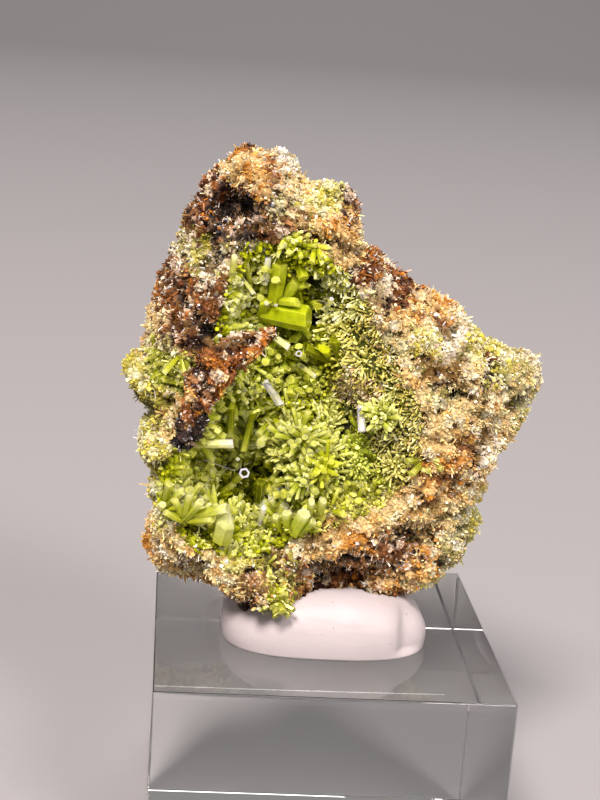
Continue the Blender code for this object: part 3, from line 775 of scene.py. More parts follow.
@dataclass
class Crystals(Rows):
    """Many crystals of one habit, each from its foot along its direction.

    Attributes:
        feet: Where each crystal is rooted.
        directions: Way that each one points.
        lengths: Length of each.
        half_widths: Half width of each.
        foot_colour: Linear colour at the foot.
        tip_colour: Linear colour at the tip.
        turns: How far each is turned round its length, in radians.
    """

    feet: np.ndarray
    directions: np.ndarray
    lengths: np.ndarray
    half_widths: np.ndarray
    foot_colour: np.ndarray
    tip_colour: np.ndarray
    turns: np.ndarray

    def ring_points(
        self, sides: int, height: np.ndarray, width: np.ndarray, chance: np.random.Generator
    ) -> np.ndarray:
        """Work out each crystal's rings of corners, with uneven sides and a slanting end.

        Args:
            sides: Corners of a ring.
            height: Height of each ring, as a share of the length.
            width: Width of each ring, as a share of the half width.
            chance: Source of the unevenness.

        Returns:
            Points by crystal, ring and corner.
        """
        count = len(self.feet)
        along = unit(self.directions)
        helper = np.where(np.abs(along[:, 2:3]) < 0.8, [[0.0, 0.0, 1.0]], [[1.0, 0.0, 0.0]])
        side = unit(np.cross(along, helper))
        other = np.cross(along, side)
        turn = self.turns[:, None] + full_turn(sides)
        flat = chance.uniform(*FLATNESS, (count, 1))
        reach = self.half_widths[:, None, None] * width[None, :, None]
        reach = reach * chance.uniform(*UNEVEN_SIDES, (count, 1, sides))
        across = reach * np.cos(turn)[:, None, :]
        upward = reach * (np.sin(turn) * flat)[:, None, :]
        slant = chance.normal(0, END_SLANT, (2, count, 1, 1)) * (height > 0.5)[None, None, :, None]
        lift = self.lengths[:, None, None] * height[None, :, None]
        lift = lift + slant[0] * across + slant[1] * upward
        return (
            self.feet[:, None, None, :]
            + along[:, None, None, :] * lift[..., None]
            + side[:, None, None, :] * across[..., None]
            + other[:, None, None, :] * upward[..., None]
        )

    def facet_map(self, sides: int, height: np.ndarray) -> np.ndarray:
        """Work out the UV map of the faces.

        It counts side faces across, with the part after the point running over one face,
        and runs up each crystal in millimetres. An end face holds one value across.

        Args:
            sides: Side faces of a crystal.
            height: Height of each ring, as a share of the length.

        Returns:
            The map at each face's corners, two values a row.
        """
        face = np.tile(np.arange(sides), len(height) - 1)[:, None]
        low, high = (np.repeat(part, sides)[:, None] for part in (height[:-1], height[1:]))
        across = np.concatenate([face, face + 1, face + 1, face], axis=1).ravel()
        across = np.concatenate([across, np.full(2 * sides, 0.5)])
        up = np.concatenate([low, low, high, high], axis=1).ravel()
        up = np.concatenate([up, np.repeat(height[[0, -1]], sides)])
        number = sides * np.arange(len(self.feet))[:, None]
        return np.stack([across + number, up * self.lengths[:, None]], axis=-1).astype(np.float32)

    def build(self, name: str, habit: Habit, chance: np.random.Generator) -> bpy.types.Object:
        """Make all the crystals as one mesh.

        Each is a stack of many-sided rings along its direction. The rings' widths follow
        the habit, the upper end slants a little, and both ends are closed by a flat face.

        Args:
            name: Name of the object.
            habit: Shape of the crystals.
            chance: Source of the unevenness.

        Returns:
            The object, with its colours and the UV map "facet".
        """
        sides, profile = habit.value
        count, rings = len(self.feet), len(profile)
        height, width, paleness = np.array(profile).T
        points = self.ring_points(sides, height, width, chance)
        number = np.arange(rings * sides).reshape(rings, sides)
        after = np.roll(number, -1, axis=1)
        walls = np.stack([number[:-1], after[:-1], after[1:], number[1:]], axis=-1).reshape(-1, 4)
        template = np.concatenate([walls.ravel(), number[0][::-1], number[-1]])
        sizes = np.concatenate([np.full(len(walls), 4), [sides, sides]])
        corners = (np.arange(count)[:, None] * rings * sides + template).ravel()
        made = write_mesh(name, points.reshape(-1, 3), corners, np.tile(sizes, count), False)
        facets = self.facet_map(sides, height)
        made.data.uv_layers.new(name="facet").data.foreach_set("uv", facets.ravel())
        pale = paleness[None, :, None, None]
        foot, tip = self.foot_colour[:, None, None, :], self.tip_colour[:, None, None, :]
        colour = np.broadcast_to(foot * (1 - pale) + tip * pale, (count, rings, sides, 3))
        paint(made, colour.reshape(-1, 3))
        return made


def add_node(
    tree: bpy.types.NodeTree, kind: str, settings: dict | None = None, links: dict | None = None
) -> bpy.types.Node:
    """Add a node to a material.

    Args:
        tree: The material's nodes.
        kind: Blender's name of the node type, without the leading ShaderNode.
        settings: Values by property name, or by socket name or number.
        links: Output sockets by the input's name or number.

    Returns:
        The new node.
    """
    node = tree.nodes.new("ShaderNode" + kind)
    for key, value in (settings or {}).items():
        if isinstance(key, str) and hasattr(node, key):
            setattr(node, key, value)
        else:
            node.inputs[key].default_value = value
    for key, source in (links or {}).items():
        tree.links.new(source, node.inputs[key])
    return node


@dataclass
class Finish:
    """A material in the making, with its shader and the Object coordinates."""

    name: str
    made: bpy.types.Material = field(init=False)
    tree: bpy.types.NodeTree = field(init=False)
    shader: bpy.types.Node = field(init=False)
    place: bpy.types.NodeSocket = field(init=False)

    def __post_init__(self) -> None:
        """Start the material."""
        self.made = bpy.data.materials.new(self.name)
        self.made.use_nodes = True
        self.tree = self.made.node_tree
        self.shader = self.tree.nodes["Principled BSDF"]
        self.place = add_node(self.tree, "TexCoord").outputs["Object"]

    def set(self, values: dict) -> None:
        """Set the shader's inputs by name."""
        for name, value in values.items():
            self.shader.inputs[name].default_value = value

    def link(self, source: bpy.types.NodeSocket, name: str) -> None:
        """Link an output to the shader's input of a name."""
        self.tree.links.new(source, self.shader.inputs[name])

    def roughen(self, size_mm: float, detail: float, strength: float, height_mm: float) -> None:
        """Give the surface fine bumps.

        Args:
            size_mm: Size of the noise.
            detail: How many finer layers it has.
            strength: How much of the bump shows.
            height_mm: Height of the bumps.
        """
        settings = {"Scale": 1.0 / (size_mm * MM), "Detail": detail}
        noise = add_node(self.tree, "TexNoise", settings, {"Vector": self.place}).outputs["Fac"]
        settings = {"Strength": strength, "Distance": height_mm * MM}
        bump = add_node(self.tree, "Bump", settings, {"Height": noise})
        self.link(bump.outputs["Normal"], "Normal")


@dataclass(frozen=True)
class TintedMineral:
    """A mineral finish whose colour comes from the mesh and is mottled by fine noise.

    Attributes:
        name: Name of the material.
        roughness: Lowest and highest roughness.
        mottle_mm: Size of the colour mottling.
        mottle: Darkest and lightest factor of the mottling.
        bump_mm: Size of the fine bumps.
        bump_height: Height of the bumps in millimetres.
        ior: Refractive index.
        transmission: Share of light that passes through.
        subsurface: Share of light that spreads inside.
        spread_mm: How far that light spreads.
        edge: How pale the edges between the crystals' faces are painted, as highlight where they catch the
            light.
        reflection: Tint of what its faces mirror.
        bump_strength: How much of the bumps shows.
        edge_colour: Colour of that painted edge highlight.
    """

    name: str
    roughness: tuple[float, float]
    mottle_mm: float
    mottle: tuple[float, float]
    bump_mm: float
    bump_height: float
    ior: float
    transmission: float = 0.0
    subsurface: float = 0.0
    spread_mm: float = 0.5
    edge: float = 0.0
    reflection: str = "#FFFFFF"
    bump_strength: float = 0.6
    edge_colour: str = "#E6EE5C"

    def material(self) -> bpy.types.Material:
        """Make the material from the mesh's tint and noise on Object coordinates.

        Returns:
            The material.
        """
        finish = Finish(self.name)
        tree = finish.tree
        tint = add_node(tree, "VertexColor", {"layer_name": "tint"}).outputs["Color"]
        settings = {"Scale": 1.0 / (self.mottle_mm * MM), "Detail": 3.0, "Roughness": 0.6}
        noise = add_node(tree, "TexNoise", settings, {"Vector": finish.place}).outputs["Fac"]
        shade, rough = (
            add_node(
                tree,
                "MapRange",
                {"From Min": 0.3, "From Max": 0.7, "To Min": low, "To Max": high},
                {"Value": noise},
            ).outputs[0]
            for low, high in (self.mottle, self.roughness[::-1])
        )
        settings = {"data_type": "RGBA", "blend_type": "MULTIPLY", 0: 1.0}
        colour = add_node(tree, "Mix", settings, {6: tint, 7: shade}).outputs[2]
        # Painted highlight: pale edges and streaks over the crystals' faces
        if self.edge:
            colour = self.paint_edge_highlights(tree, colour)
        finish.link(colour, "Base Color")
        finish.link(rough, "Roughness")
        finish.roughen(self.bump_mm, 2.0, self.bump_strength, self.bump_height)
        finish.set(
            {
                "IOR": self.ior,
                "Specular Tint": rgba(self.reflection),
                "Transmission Weight": self.transmission,
                "Subsurface Weight": self.subsurface,
                "Subsurface Radius": (1.0, 1.0, 0.05),
                "Subsurface Scale": self.spread_mm * MM,
            }
        )
        return finish.made

    def paint_edge_highlights(
        self, tree: bpy.types.NodeTree, colour: bpy.types.NodeSocket
    ) -> bpy.types.NodeSocket:
        """Paint highlights: paler colour near the edges between side faces, where they catch the light, and
        along fine streaks, partly striations and partly painted highlight.

        Args:
            tree: The material's nodes.
            colour: Colour of the middle of the faces.

        Returns:
            The new colour.
        """
        facet = add_node(tree, "UVMap", {"uv_map": "facet"}).outputs["UV"]
        off = add_node(tree, "SeparateXYZ", links={"Vector": facet}).outputs["X"]
        for settings in (
            {"operation": "FRACT"},
            {"operation": "SUBTRACT", 1: 0.5},
            {"operation": "ABSOLUTE"},
        ):
            off = add_node(tree, "Math", settings, {0: off}).outputs[0]
        settings = {"interpolation_type": "SMOOTHSTEP", "From Min": 0.4, "From Max": 0.5}
        near = add_node(tree, "MapRange", {**settings, "To Max": self.edge}, {"Value": off})
        long = add_node(tree, "Mapping", {"Scale": (7.0, 0.9, 1.0)}, {"Vector": facet}).outputs[0]
        settings = {"noise_dimensions": "2D", "Scale": 1.0, "Detail": 2.0}
        streak = add_node(tree, "TexNoise", settings, {"Vector": long}).outputs["Fac"]
        settings = {"From Min": 0.52, "From Max": 0.8, "To Max": 0.5 * self.edge}
        faint = add_node(tree, "MapRange", settings, {"Value": streak})
        links = {0: near.outputs[0], 1: faint.outputs[0]}
        most = add_node(tree, "Math", {"operation": "MAXIMUM"}, links).outputs[0]
        settings = {"data_type": "RGBA", 7: rgba(self.edge_colour)}
        return add_node(tree, "Mix", settings, {0: most, 6: colour}).outputs[2]


# Pyromorphite: lead chlorophosphate with a resinous, almost adamantine lustre. It is
# translucent, so crystals glow yellow-green where light passes.
PYROMORPHITE = TintedMineral(
    "pyromorphite", (0.08, 0.22), 0.6, (0.88, 1.3), 0.2, 0.004, 1.5, 0.28, 0.7, 1.2, 0.38, "#FAFC88"
)
# Pyromorphite needles: too thin for the eye to see their faces, so softer and less glassy
NEEDLES = TintedMineral(
    "pyromorphite_needles", (0.18, 0.4), 0.6, (0.96, 1.24), 0.2, 0.003, 1.4, 0.1, 0.35, 0.5, 0.0, "#F8FA80"
)
# Limonite and quartz matrix: earthy, dull, broken and weathered
LIMONITE = TintedMineral("limonite_matrix", (0.5, 0.9), 0.2, (0.35, 1.5), 0.12, 0.06, 1.4)
# Druse of tiny crystals on the matrix: glassy grains that catch the light one by one
DRUSE = TintedMineral(
    "druse_grains", (0.12, 0.45), 0.3, (0.75, 1.2), 0.1, 0.004, 1.48, 0.0, 0.15, 0.25
)


@dataclass(frozen=True)
class Acrylic:
    """Cast acrylic, cut and flame polished: clear all through, with hair-fine waves."""

    ior: float = 1.49
    roughness: float = 0.0
    wave_mm: float = 12.0
    wave_height: float = 0.01
    wave_strength: float = 0.2

    def material(self) -> bpy.types.Material:
        """Make a clear material with faint waves on Object coordinates.

        Returns:
            The material.
        """
        finish = Finish("cast_acrylic")
        finish.set({"Base Color": rgba("#FCFDFC"), "Roughness": self.roughness})
        finish.set({"IOR": self.ior, "Transmission Weight": 1.0})
        finish.roughen(self.wave_mm, 0.0, self.wave_strength, self.wave_height)
        return finish.made


@dataclass(frozen=True)
class Putty:
    """Mineral tack: white, faintly pink, soft sheen, with finger marks and dust specks.

    A speck is a dot round a random point, with the given share of the points' spacing as
    its radius, and only the given share of the points has one.
    """

    roughness: float = 0.5
    clouds: tuple[str, str] = ("#B0A8AA", "#B8B0B2")
    cloud_mm: float = 3.0
    speck: str = "#6B5146"
    speck_mm: float = 0.9
    speck_radius: float = 0.07
    speck_share: float = 0.22
    skin_mm: float = 0.5
    skin_height: float = 0.02

    def material(self) -> bpy.types.Material:
        """Make a soft white material with rare dark specks on Object coordinates.

        Returns:
            The material.
        """
        finish = Finish("mineral_tack")
        tree, place = finish.tree, {"Vector": finish.place}
        dots = add_node(tree, "TexVoronoi", {"Scale": 1.0 / (self.speck_mm * MM)}, place)
        red = add_node(tree, "SeparateColor", links={"Color": dots.outputs["Color"]}).outputs[0]
        near, rare = (
            add_node(tree, "Math", {"operation": "LESS_THAN", 1: limit}, {0: value}).outputs[0]
            for value, limit in (
                (dots.outputs["Distance"], self.speck_radius),
                (red, self.speck_share),
            )
        )
        speck = add_node(tree, "Math", {"operation": "MULTIPLY"}, {0: near, 1: rare}).outputs[0]
        settings = {"Scale": 1.0 / (self.cloud_mm * MM), "Detail": 3.0}
        cloud = add_node(tree, "TexNoise", settings, place).outputs["Fac"]
        settings = {"data_type": "RGBA", 6: rgba(self.clouds[0]), 7: rgba(self.clouds[1])}
        white = add_node(tree, "Mix", settings, {0: cloud}).outputs[2]
        settings = {"data_type": "RGBA", 7: rgba(self.speck)}
        finish.link(add_node(tree, "Mix", settings, {0: speck, 6: white}).outputs[2], "Base Color")
        finish.set({"Roughness": self.roughness, "Subsurface Weight": 0.3})
        finish.set({"Subsurface Radius": (1.0, 0.8, 0.7), "Subsurface Scale": 0.8 * MM})
        finish.roughen(self.skin_mm, 3.0, 0.35, self.skin_height)
        return finish.made


@dataclass(frozen=True)
class Coat:
    """A coating of the rock.

    Attributes:
        recess: Darker colour deep in its creases, a painted shade.
        tops: Colours of its grains.
        grain: Half width of a grain.
        density: Grains for each square millimetre.
        blades: Share of the grains that are long thin blades.
        relief: How strongly its lumps stand out.
    """

    recess: str
    tops: tuple[str, ...]
    grain: float
    density: float
    blades: float
    relief: float


class Coating(Enum):
    """Coatings that the rock shows in patches."""

    TAN = Coat("#7A5820", ("#F2D69C", "#E4C282", "#F8E4B8", "#D8AE68", "#EACE92"), 0.15, 17, 0.45, 1.0)
    OCHRE = Coat("#74400A", ("#E8B870", "#D0984A", "#F2CE96", "#BE7E2C", "#ECC280"), 0.15, 17, 0.35, 1.0)
    RUST = Coat("#200A02", ("#9A6030", "#6E3A10", "#EACEAA", "#AC6824", "#4A240A"), 0.14, 22, 0.6, 1.3)
    DARK_RUST = Coat("#120602", ("#6A4018", "#806034", "#3C1C0A", "#E6CCB2", "#A8784A"), 0.14, 22, 0.6, 1.3)
    BLACK = Coat("#040201", ("#1E130E", "#30221A", "#42302A", "#100806", "#705C48"), 0.14, 15, 0.3, 1.2)
    CREAM = Coat("#8E764A", ("#E8DCC4", "#DCCCA6", "#F0E6D2", "#CEBC90", "#E4D6B6"), 0.15, 17, 0.15, 0.8)
    PALE_GREEN = Coat(
        "#706A22", ("#E2DA84", "#ECE6AA", "#D0C65C", "#F2ECBE", "#C2B648"), 0.15, 16, 0.25, 0.9
    )
    GREY_GREEN = Coat(
        "#565028", ("#C8BE88", "#DCD2A4", "#B0A462", "#ECE4C0", "#D0B87C"), 0.14, 18, 0.3, 1.0
    )
    OLIVE = Coat("#38340C", ("#A29A38", "#BAB252", "#7C741E", "#D0C676", "#928028"), 0.15, 17, 0.45, 1.0)
    GREEN = Coat("#464A00", ("#B4BA26", "#969C10", "#DCDC7C", "#828A0A", "#C6CA4E"), 0.16, 12, 0.35, 0.8)


COATINGS = tuple(Coating)
COATS = tuple(coating.value for coating in COATINGS)
TOP_COLOURS = np.array([[linear(colour) for colour in coat.tops] for coat in COATS])
# Darker colours of the coatings in creases, painted shade
CREASE_SHADE_COLOURS = colours_of(COATS, "recess")

# Patches of coating on the front: x, z and half widths
FRONT_PATCHES = {
    Coating.OCHRE: (
        (-9.8, 64.4, 1.6, 1.2), (-9.6, 62.4, 1.6, 1.0), (-2.4, 59.6, 1.8, 0.9),
        (-16.4, 27.8, 1.2, 1.6), (-10.8, 25.6, 2.0, 0.8), (-3.6, 26.0, 1.6, 1.0),
        (1.6, 30.6, 1.4, 0.9), (6.6, 26.4, 2.4, 1.5), (8.6, 29.4, 1.2, 1.8), (8.6, 36.4, 1.4, 1.8),
        (10.8, 40.0, 1.0, 1.4), (7.4, 52.0, 2.2, 1.0),
    ),
    Coating.TAN: (
        (-11.3, 63.6, 0.8, 0.9), (-6.4, 62.6, 1.3, 0.8), (-5.2, 60.4, 0.9, 2.6),
        (-3.4, 57.6, 1.2, 1.8), (-1.0, 57.6, 1.4, 1.2), (-17.8, 48.8, 0.9, 2.2),
        (-15.9, 41.6, 0.7, 2.4), (-15.8, 30.4, 1.8, 1.2), (-14.6, 26.2, 2.4, 1.0),
        (-12.0, 30.0, 1.6, 0.9), (-10.4, 27.3, 2.2, 1.1), (-2.6, 30.0, 2.2, 0.8),
        (4.0, 25.0, 1.8, 0.7), (8.4, 33.4, 1.8, 2.4), (11.6, 36.6, 1.6, 1.6), (13.4, 38.2, 1.0, 1.6),
        (5.0, 51.4, 2.0, 1.2), (4.6, 47.6, 2.0, 1.4), (10.8, 48.2, 1.0, 0.8), (8.0, 46.8, 1.8, 1.0),
        (13.0, 45.0, 1.4, 0.9), (10.0, 43.4, 2.2, 0.8), (14.6, 42.6, 2.0, 1.2), (9.4, 41.8, 2.0, 1.2),
    ),
    Coating.CREAM: (
        (-6.7, 64.1, 1.4, 0.9), (-13.2, 54.6, 1.0, 1.4), (-15.0, 29.4, 1.2, 1.2),
        (13.2, 40.4, 0.9, 1.8), (1.6, 54.2, 1.6, 0.8), (9.0, 49.9, 1.8, 1.5), (17.8, 46.6, 0.8, 1.2),
    ),
    Coating.GREY_GREEN: (
        (-7.2, 61.0, 1.0, 1.3), (-15.8, 56.6, 0.8, 1.6), (-10.6, 56.9, 1.4, 0.8),
        (-16.2, 47.8, 0.9, 1.0), (11.0, 31.0, 1.8, 3.0), (3.6, 50.0, 1.6, 1.6), (8.6, 45.2, 1.6, 0.8),
        (16.4, 46.8, 1.6, 1.2), (15.6, 44.6, 1.8, 1.0), (12.4, 43.4, 1.4, 0.8),
    ),
    # These black patches lie in the dark hole, the crevice and the small pits, and are painted shade
    Coating.BLACK: (
        (-11.0, 60.1, 1.2, 1.3), (-12.6, 58.2, 0.7, 1.6), (12.5, 46.6, 0.7, 0.6),
        (9.4, 45.2, 0.8, 0.5), (-7.6, 61.3, 0.4, 0.4),
    ),
    Coating.RUST: (
        (-13.2, 60.8, 1.0, 2.2), (-5.2, 57.2, 0.8, 0.8), (-14.8, 52.6, 2.4, 1.6),
        (2.0, 26.2, 4.6, 0.9), (4.6, 29.6, 1.2, 1.0), (4.4, 53.4, 1.6, 1.0), (0.8, 55.6, 1.2, 1.0),
        (12.9, 47.5, 0.9, 0.6), (10.9, 45.1, 0.7, 0.4), (-9.9, 65.3, 0.9, 0.5), (-8.6, 60.9, 0.4, 0.4),
        (13.2, 44.8, 0.8, 0.5), (12.2, 38.0, 0.6, 0.6), (9.2, 32.0, 0.6, 0.8), (-8.2, 63.4, 0.6, 0.5),
    ),
    Coating.DARK_RUST: (
        (-7.2, 59.3, 1.3, 1.5), (-9.4, 58.0, 2.0, 0.9), (-0.7, 61.0, 0.9, 1.0),
        (-15.2, 58.6, 1.1, 1.8), (-16.4, 54.0, 0.8, 1.6), (-14.8, 50.4, 2.2, 1.4),
        (-12.2, 53.0, 0.9, 1.4), (-13.4, 28.0, 0.8, 1.5), (-8.0, 27.2, 0.7, 0.7),
        (-8.2, 24.2, 1.6, 0.9), (1.0, 28.6, 4.6, 1.4), (6.8, 30.6, 1.2, 1.4), (8.0, 46.3, 0.8, 0.5),
        (9.6, 36.2, 0.5, 0.6), (6.9, 48.8, 0.6, 0.5), (-10.6, 62.0, 0.7, 0.4),
    ),
    Coating.PALE_GREEN: (
        (-3.2, 61.4, 1.6, 0.9), (-18.8, 44.8, 1.6, 1.2), (-17.2, 39.3, 1.6, 1.7),
        (-15.9, 35.4, 0.9, 3.2), (-8.8, 28.9, 2.4, 0.7), (9.4, 26.6, 1.6, 0.9), (13.0, 30.6, 0.9, 3.2),
        (6.4, 49.4, 1.4, 1.4), (11.0, 49.4, 1.0, 1.2), (13.6, 47.0, 1.4, 1.0), (16.8, 43.4, 0.7, 1.4),
    ),
    Coating.OLIVE: (
        (-14.2, 56.2, 0.9, 1.2), (-17.2, 42.6, 1.5, 1.6), (-4.4, 27.2, 1.0, 1.4),
    ),
    Coating.GREEN: (
        (-15.8, 46.2, 1.5, 1.2), (-5.2, 25.4, 1.1, 1.4),
    ),
}

# Patches on the back, in the same form
BACK_PATCHES = {
    Coating.TAN: (
        (-9.0, 60.0, 4.0, 4.0), (3.0, 44.0, 5.0, 4.0), (-4.0, 26.0, 6.0, 2.0), (11.0, 36.0, 3.0, 3.0),
    ),
    Coating.RUST: (
        (-12.0, 50.0, 4.0, 5.0),
    ),
    Coating.OCHRE: (
        (-3.0, 52.0, 4.0, 5.0), (-12.0, 32.0, 4.0, 4.0),
    ),
    Coating.PALE_GREEN: (
        (-8.0, 41.0, 4.0, 4.0),
    ),
    Coating.GREY_GREEN: (
        (11.0, 44.0, 4.0, 4.0),
    ),
    Coating.DARK_RUST: (
        (-3.0, 33.0, 4.0, 4.0),
    ),
    Coating.CREAM: (
        (6.0, 32.0, 5.0, 4.0),
    ),
    Coating.GREEN: (
        (2.0, 38.0, 2.0, 2.0),
    ),
}


def coat_colours(places: np.ndarray, coat: np.ndarray) -> np.ndarray:
    """Give the colour of a coating's tops at each place: a few shades in small blots.

    Args:
        places: Places on the rock.
        coat: Number of each one's coating.

    Returns:
        Linear colours.
    """
    _, blot = nearest_seed(places, 0.85, 29)
    fine = np.exp(0.16 * soft_noise(places, 0.3, 31))
    return np.clip(TOP_COLOURS[coat, (blot * 4.99).astype(int)] * fine[:, None], 0, 0.92)


def shaded(places: np.ndarray, coat: np.ndarray, high: np.ndarray) -> np.ndarray:
    """Mix each coating's darker crease colour, a painted shade, with the colour of its tops.

    Args:
        places: Places on the rock.
        coat: Number of each one's coating.
        high: 0 where the painted crease shade shows and 1 where the tops' colour does.

    Returns:
        Linear colours.
    """
    high = high[:, None]
    return CREASE_SHADE_COLOURS[coat] * (1 - high) + coat_colours(places, coat) * high


@dataclass
class Cover:
    """What covers the rock at each of some points.

    Each patch has a bell-shaped weight over x and z, with its edges bent by noise. The
    weights say how likely each coating is, so coatings mingle where patches meet.
    """

    weights: np.ndarray

    @staticmethod
    def over(places: np.ndarray, edge: np.ndarray) -> "Cover":
        """Weigh the coatings.

        Args:
            places: Places on the rock.
            edge: Y of the outline at each, which parts the front from the back.

        Returns:
            The cover.
        """
        bent = wander(places, 1.9, 41)
        back = places[:, 1] > edge + 1.0
        weights = np.zeros((len(places), len(COATINGS)))
        weights[:, COATINGS.index(Coating.TAN)] = LEAST_TAN
        for patches, here in ((FRONT_PATCHES, ~back), (BACK_PATCHES, back)):
            x, z = bent[here, 0], bent[here, 2]
            for coating, rows in patches.items():
                for middle_x, middle_z, half_x, half_z in rows:
                    gap = ((x - middle_x) / half_x) ** 2 + ((z - middle_z) / half_z) ** 2
                    weights[here, COATINGS.index(coating)] += np.exp(-PATCH_FALL * gap)
        weights = weights**PATCH_CONTRAST
        return Cover(weights / weights.sum(axis=1, keepdims=True))

    def pick(self, chance: np.ndarray) -> np.ndarray:
        """Choose one coating for each point, by a number from 0 to 1."""
        total = np.cumsum(self.weights, axis=1)
        return np.sum(total < chance[:, None], axis=1).clip(0, len(COATINGS) - 1)

    def blend(self, values: np.ndarray) -> np.ndarray:
        """Average a property of the coatings by their weights."""
        return self.weights @ values


def gap_depth(places: np.ndarray) -> np.ndarray:
    """Say how deep in a gap between the crystals each place is, from 0 to 1; the gaps are painted dark as
    shade.
    """
    depth = np.zeros(len(places))
    for x, z, radius in GAPS_WITH_PAINTED_SHADE:
        off = np.hypot(places[:, 0] - x, places[:, 2] - z) / radius
        depth = np.maximum(depth, 1 - smooth_step(off, 0.6, 1.2))
    return depth


def pit_depth(places: np.ndarray) -> np.ndarray:
    """Say how deep in a small round pit each place is, from 0 to 1."""
    gap, tag = nearest_seed(places, 1.5, 97)
    radius = 0.16 + 0.22 * tag
    return np.where(tag > 0.5, smooth_step(1 - gap / radius, 0.0, 0.7), 0.0)


def rock_piece(name: str, points: np.ndarray, tint: np.ndarray) -> bpy.types.Object:
    """Write rings of columns as a closed piece of rock.

    Args:
        name: Name of the piece.
        points: Its points, as rings of columns.
        tint: Linear colour of each point.

    Returns:
        The piece.
    """
    made = closed_grid(name, points, points[0].mean(axis=0), points[-1].mean(axis=0), False)
    paint(made, np.concatenate([tint[:1], tint, tint[-1:]]))
    made.data.materials.append(LIMONITE.material())
    return made


@dataclass
class MatrixRock:
    """The rock's fine surface: lumps, grains and pits over its main form.

    Attributes:
        form: The main form.
        columns: Points of a ring.
        hollow_rings: Rings inside the rim.
        flank_rings: Rings from the rim to the outline.
        back_rings: Rings of the back.
        lumps: Cell and height of each layer of lumps.
        lump_middle: Height of the lumps that leaves the surface where it is.
        pit: Depth of the small pits.
        pit_shade: How much darker the pits are painted, as shade.
        gap_depth: Depth of the dark gaps.
        ground_shade: Shade of the bare rock under its grains.
        ground: Colour of the rock under the green crystals, its own green darkened as painted shade between
            them.
        surface: The finished surface.
    """

    form: RockForm
    columns: int = 540
    hollow_rings: int = 36
    flank_rings: int = 86
    back_rings: int = 58
    lumps: tuple[tuple[float, float], ...] = ((2.4, 1.1), (1.1, 0.75), (0.5, 0.36))
    lump_middle: float = 0.72
    pit: float = 1.1
    pit_shade: float = 0.85
    gap_depth: float = 1.2
    ground_shade: float = 0.66
    ground: str = "#444A00"
    surface: Patchwork = field(init=False)

    def shares(self) -> np.ndarray:
        """Give the share of each ring, close together where the form turns fast."""
        hollow = np.linspace(0.01, 1.0, self.hollow_rings)
        flank = 1 + np.sin(np.linspace(0, math.pi / 2, self.flank_rings + 1)[1:])
        back = 3 - np.cos(np.linspace(0, math.pi / 2, self.back_rings + 1)[1:-1])
        return np.concatenate([hollow, flank, back])

    def grid(self) -> tuple[np.ndarray, np.ndarray]:
        """Work out the main form on rings of columns, front first.

        Returns:
            Points and shares.
        """
        share = self.shares()
        angle = np.arange(self.columns) * 360.0 / self.columns
        front, rear = share[share <= 2.0], share[share > 2.0] - 2.0
        points = [self.form.front(angle, front[:, None]), self.form.back(angle, rear[:, None])]
        return np.concatenate(points).reshape(len(share), self.columns, 3), share

    def build(self) -> bpy.types.Object:
        """Make the rock: the main form pushed out by lumps and in by pits.

        Returns:
            The rock.
        """
        base, share = self.grid()
        flat = base.reshape(-1, 3)
        bare = smooth_step(self.form.past_growth(flat, np.repeat(share, self.columns)), -0.1, 0.04)
        cover = Cover.over(flat, self.form.edge_depth(flat[:, 2]))
        height = np.zeros(len(flat))
        for layer, (cell, size) in enumerate(self.lumps):
            height += size * (lumpy(flat, cell, 60 + 7 * layer) - self.lump_middle)
        height *= cover.blend(values_of(COATS, "relief"))
        pits = pit_depth(flat)
        gaps = gap_depth(flat) * (1 - bare)
        moved = (height - self.pit * pits) * (0.3 + 0.7 * bare) - self.gap_depth * gaps
        standing = smooth_step(height, -0.45, 0.0) * (1 - smooth_step(pits, 0.05, 0.3))
        self.surface = Patchwork.pushed(base, moved, share, standing)
        tint = self.colours(flat, cover, height, pits) * self.ground_shade
        green = np.array(linear(self.ground))
        # Painted shade: in the gaps between the crystals the ground colour falls to a tenth
        tint = tint * bare[:, None] + green * ((1 - bare) * (1 - 0.9 * gaps))[:, None]
        return rock_piece("rusty_matrix", self.surface.points, tint)

    def colours(
        self, places: np.ndarray, cover: Cover, height: np.ndarray, pits: np.ndarray
    ) -> np.ndarray:
        """Colour the rock: its coatings' tops on high ground, and their darker colours in creases and pits
        as painted shade.

        Args:
            places: Places on the rock.
            cover: What covers them.
            height: Height of the lumps there.
            pits: Depth in a pit there.

        Returns:
            Linear colours.
        """
        _, tag = nearest_seed(places, 0.7, 23)
        tint = shaded(places, cover.pick(tag), smooth_step(height, -0.5, 0.12))
        return tint * (1 - self.pit_shade * pits[:, None])


